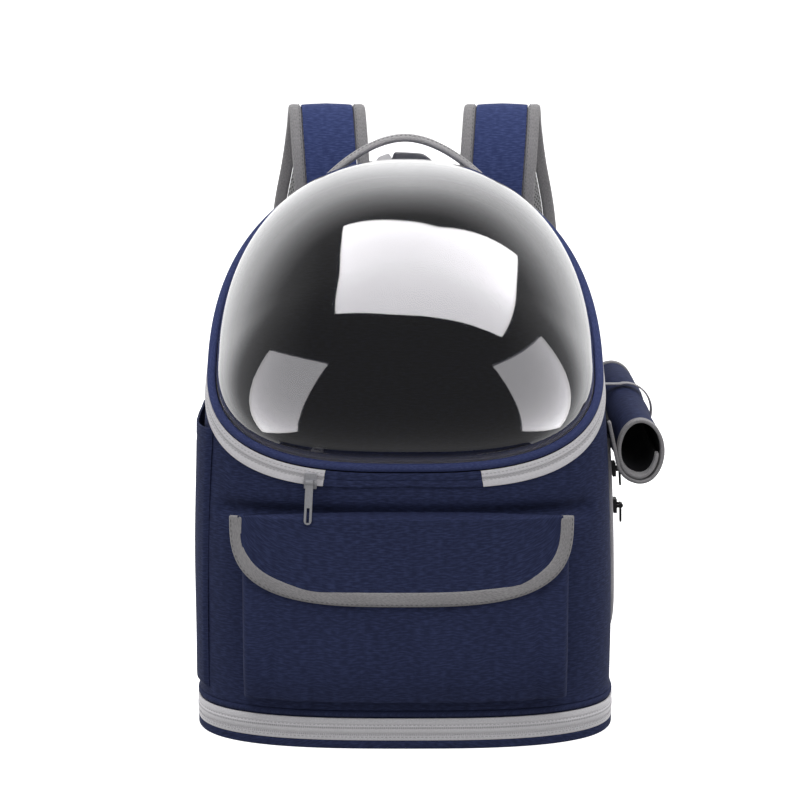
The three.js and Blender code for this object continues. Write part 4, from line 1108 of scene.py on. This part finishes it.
# Left side pocket. A patch pocket for a bottle, of the body's cloth, sewn down at its front, foot and
# rear, and standing a little open at its hemmed rim.
patch_front, patch_rear, patch_foot, patch_rim, rim_climb = 0.72, 1.92, 0.036, 0.238, 0.007


def side_pocket_form(u, v):
    """Places on the outline from front to rear, and heights up to a rim that climbs to the rear."""
    place = patch_front + (patch_rear - patch_front) * u
    height = patch_foot + (patch_rim + rim_climb * u - patch_foot) * v
    slack = 0.1 + 0.9 * v**2.5
    stand = 0.0056 * slack * np.sin(math.pi * u) ** 0.7
    hem = 0.0005 * hump(v, 0.94, 0.008)
    pucker = 0.0005 * np.sin(u * 26) * np.sin(v * 9) * np.sin(math.pi * u)
    seam = 0.0003 + 0.0018 * np.clip(np.minimum(u, 1 - u) / 0.02, 0, 1) * np.clip(v / 0.012, 0, 1)
    x, y, z = wall_point(place, height, seam + stand + pucker - hem)
    return -x, y, z


side_pocket = lay("side_pocket_cloth", 90, 90, side_pocket_form)
edit(side_pocket, bpy.ops.mesh.flip_normals)
thicken(side_pocket, 0.0016)
dress(side_pocket, navy_cloth, ["side_pocket"])


# Carry handle and hang loop. The handle is a grey webbing folded over a soft core and box-stitched into
# the top seam; the loop behind it is a short length of darker tape.
handle_half, handle_y, handle_top, handle_fall = 0.072, 0.072, 0.449, 0.041
handle_share = np.linspace(-1, 1, 120)
handle_rise = handle_top - handle_fall * np.abs(handle_share) ** 1.85
handle_line = np.stack([handle_share * handle_half, np.full(120, handle_y), handle_rise], 1)
handle_route = Route(handle_line, (0, 0, 1), 160)


def handle_fold(a):
    crown = 0.0006 * np.cos(np.clip(a / 0.0125, -1, 1) * math.pi / 2)
    return crown - 0.0008 * hump(np.abs(a), 0.0095, 0.0008)


handle = strip("carry_handle_webbing", handle_route, 0.0122, 0.0030, 2.6, 32, 120, handle_fold)
handle_finish = bias_finish("handle_webbing", tone(140, 138, 140), tone(196, 194, 196))
dress(handle, handle_finish, ["carry_handle"], angle=60)
for across in (-0.0095, 0.0095):
    label = "rear" if across < 0 else "front"
    stitches("carry_handle_" + label + "_stitches", handle_route, across, 0.0026, margin=0.01)

loop_rows = [(-0.56, -0.5), (-0.5, 0), (-0.36, 0.6), (-0.2, 1), (0.2, 0.86), (0.38, 0.5), (0.5, 0), (0.56, -0.5)]
loop_line = smooth_line([(across * 0.050, 0.102, body_top + rise * 0.0052) for across, rise in loop_rows], 120)
loop_bends = [-0.026, -0.020, -0.0125, -0.0085, 0.014, 0.026]
loop_tilt = np.radians(np.interp(loop_line[:, 0], loop_bends, [0, -40, -40, 56, 56, 0]))
loop_face = np.stack([0 * loop_tilt, np.sin(loop_tilt), np.cos(loop_tilt)], 1)
loop = strip("hang_loop_tape", Route(loop_line, loop_face, 120), 0.0070, 0.0009, 4.0, 20, 90)
loop_finish = bias_finish("loop_tape", tone(176, 175, 178), tone(214, 212, 216))
dress(loop, loop_finish, ["hang_loop"], angle=60)


# Back pad. A foam panel under black air mesh, sewn to the back round its edge and quilted in channels
# so that air gets past the wearer's back.
pad_half, pad_foot, pad_top, pad_corner, pad_depth = 0.104, 0.034, 0.362, 0.040, 0.009


def mesh_finish(name, dark, light):
    """Air mesh: rows of small open cells over a foam core."""
    material, finish = start_finish(name, Roughness=0.85, Sheen_Weight=0.1)
    across, along, _ = components(finish, cloth_uv(finish))
    both_ways = [((across + along * slant) * (math.pi / 0.0026)).sine() for slant in (0.58, -0.58)]
    open_cells = contrast((both_ways[0] * both_ways[1]).absolute(), 0.35, 0.75)
    cloudy = noise(finish, cloth_uv(finish), 30, 2.0)
    colour = blend(finish, (open_cells * 0.8 + (cloudy - 0.5) * 0.3).clamped(), light, dark)
    drive(finish, Base_Color=colour, Normal=relief(finish, 1 - open_cells, 0.7, 0.0008))
    return material


back_mesh = mesh_finish("black_air_mesh", tone(10, 10, 12), tone(46, 46, 50))
pale_mesh = mesh_finish("pale_air_mesh", tone(84, 84, 86), tone(190, 189, 190))


def pad_form(u, v):
    """A square grid drawn to a rounded panel, crowned, with its sewn channels pressed in."""
    a, b = 2 * u - 1, 2 * v - 1
    half_height = (pad_top - pad_foot) / 2
    radius_share = np.maximum(np.abs(a), np.abs(b))
    angle = np.arctan2(b, a)
    cosine, sine = np.abs(np.cos(angle)) + 1e-9, np.abs(np.sin(angle)) + 1e-9
    reach = (cosine**6 + sine**6) ** (-1 / 6)
    x = pad_half * radius_share * reach * np.cos(angle)
    z = (pad_top + pad_foot) / 2 + half_height * radius_share * reach * np.sin(angle)
    crown = (1 - radius_share**10) ** 0.5
    channels = np.zeros_like(x)
    for middle in (-0.034, 0.034):
        channels += hump(x, middle, 0.004)
    for height in (0.115, 0.198, 0.281):
        channels += hump(z, height, 0.004) * (np.abs(x) > 0.034)
    pressed = (1 - 0.55 * np.clip(channels, 0, 1)) * (0.93 + 0.07 * np.cos(x * 24))
    depth = 0.0006 + (pad_depth - 0.0006) * crown * pressed
    return -x, body_back + 0.0003 + depth, z


pad = lay("back_pad_mesh", 130, 180, pad_form)
thicken(pad, 0.0006)
dress(pad, back_mesh, ["back_pad"])


# Shoulder straps. Each is a curved foam pad between navy cloth and pale air mesh, bound in grey along both
# edges, with a webbing tab, a ladder-lock buckle and a webbing that is sewn under a patch at the foot.
strap_rows = [
    (0.06, 0.768, 0), (0.07, 0.83, 0), (0.12, 0.895, 0.05), (0.21, 0.948, 0.1), (0.345, 0.983, 0.14),
    (0.5, 0.9914, 0.18), (0.66, 0.981, 0.22), (0.8, 0.946, 0.28), (0.92, 0.88, 0.42), (0.98, 0.797, 0.62),
    (1, 0.692, 0.76), (0.95, 0.587, 0.86), (0.86, 0.493, 0.94), (0.74, 0.42, 1),
]
strap_reach, strap_height, strap_splay, strap_half = 0.080, 0.477, 0.040, 0.0222
binding_at, stitches_at, anchor_x, anchor_z = 0.028, 0.0246, 0.1185, 0.050
strap_cloth = woven("strap_cloth", tone(44, 54, 98), tone(84, 98, 150), Specular_IOR_Level=0.25)
black_webbing = bias_finish("black_webbing", tone(18, 18, 20), tone(44, 44, 48), 0.0012)
buckle_middle, buckle_long, buckle_slot = 0.0285, 0.025, 0.0046
slot_at = ((buckle_long - 2 * buckle_slot) / 3 + buckle_slot) / 2


def strap_crown(a):
    return 0.0012 * np.cos(np.clip(a / 0.022, -1, 1) * math.pi / 2)


def block(name, size, middle=(0, 0, 0)):
    """A rectangular block."""
    bpy.ops.mesh.primitive_cube_add(size=1)
    made = bpy.context.object
    made.name = made.data.name = name
    return edit(made, lambda: bpy.ops.transform.resize(value=size), lambda: bpy.ops.transform.translate(value=middle))


for side, name, root in [(-1, "strap_left", 0.062), (1, "strap_right", 0.0795)]:
    line = [
        (side * (root + strap_splay * splay), body_back + reach * strap_reach, height * strap_height)
        for reach, height, splay in strap_rows
    ]
    curve = smooth_line(line, 260)
    route = Route(curve, np.cross((1, 0, 0), unit(np.gradient(curve, axis=0))), 240)

    face = strip(name + "_face_cloth", route, strap_half, 0.0011, 8.0, 28, 170, strap_crown, out=0.0029)
    dress(face, strap_cloth, [name + "_face"], angle=60)
    foam = strip(name + "_air_mesh", route, strap_half, 0.0027, 5.0, 32, 170, out=-0.00125)
    dress(foam, pale_mesh, [name + "_mesh"], angle=60)
    for edge, turn in [("inner", side), ("outer", -side)]:
        bound = strip(name + "_" + edge + "_binding", route, 0.0054, 0.0043, 3.0, 24, 170, across=turn * binding_at)
        dress(bound, grey_binding, [name + "_" + edge + "_edge"], angle=60)
        stitches(name + "_" + edge + "_stitches", route, turn * stitches_at, 0.0041)

    pad_end = np.array(line[-1])
    down = unit(pad_end - np.array(line[-2]))
    level = unit((1, 0, 0) - down[0] * down)
    off = np.cross(level, down)

    def below_pad(along, stand):
        return pad_end + down * along + off * stand

    buckle = block(name + "_ladder_lock", (0.030, buckle_long, 0.0036))
    for place in (-slot_at, slot_at):
        slot_cutter = block("slot_cutter", (0.0212, buckle_slot, 0.01), (0, place, 0))
        modify(buckle, "BOOLEAN", object=slot_cutter, operation="DIFFERENCE", solver="EXACT")
        bpy.data.objects.remove(slot_cutter)
    modify(buckle, "BEVEL", width=0.0009, segments=3, limit_method="ANGLE", angle_limit=math.radians(40))
    stand = np.eye(4)
    stand[:3, 0], stand[:3, 1], stand[:3, 2], stand[:3, 3] = level, down, off, below_pad(buckle_middle, 0)
    buckle.data.transform(Matrix(stand.tolist()))
    dress(buckle, black_plastic, [name + "_buckle"], angle=40)

    clear_of_bar = 0.0036 / 2 + 0.0008 + 0.0004
    upper, lower = buckle_middle - slot_at, buckle_middle + slot_at
    half_long = buckle_long / 2
    tab = [
        (0.0005, 1), (buckle_middle - half_long, 1), (upper - 0.0008, 1), (upper, 0.4),
        (upper, -0.4), (upper - 0.0008, -1), (buckle_middle - half_long, -1), (0.0005, -1),
    ]
    tail = [
        (buckle_middle + buckle_long * 1.8, 1), (buckle_middle + half_long, 1), (lower + 0.0008, 1), (lower, 0.4),
        (lower, -0.4), (lower + 0.0008, -1), (buckle_middle + half_long + 0.002, -1),
    ]
    anchor = np.array((side * anchor_x, body_back + 0.0003 + 0.003 + 0.0014, anchor_z))
    sewn = [anchor + (0, 0, 0.0084), anchor - (0, 0, 0.0084)]
    for label, rows_of, more in [("tab", tab, []), ("webbing", tail, sewn)]:
        points = [below_pad(along, share * clear_of_bar) for along, share in rows_of] + more
        if label == "webbing":
            points.insert(7, points[6] * 0.62 + anchor * 0.38 + (0, 0.004, -0.002))
            points.insert(8, points[6] * 0.25 + anchor * 0.75 + (0, 0.003, 0.004))
        bend = smooth_line(points, 200)
        run = np.gradient(bend, axis=0)
        tape_route = Route(bend, np.cross(level, run), 160)
        tape_piece = strip(name + "_" + label + "_tape", tape_route, 0.0098, 0.0007, 4.0, 16, 120)
        dress(tape_piece, black_webbing, [name + "_" + label], angle=60)

    patch_middle = (side * anchor_x, body_back + 0.0018, anchor_z)
    patch = block(name + "_anchor_patch", (0.0236, 0.0028, 0.0276), patch_middle)
    modify(patch, "BEVEL", width=0.0012, segments=3, limit_method="NONE")
    dress(patch, navy_cloth, [name + "_anchor"], angle=40)
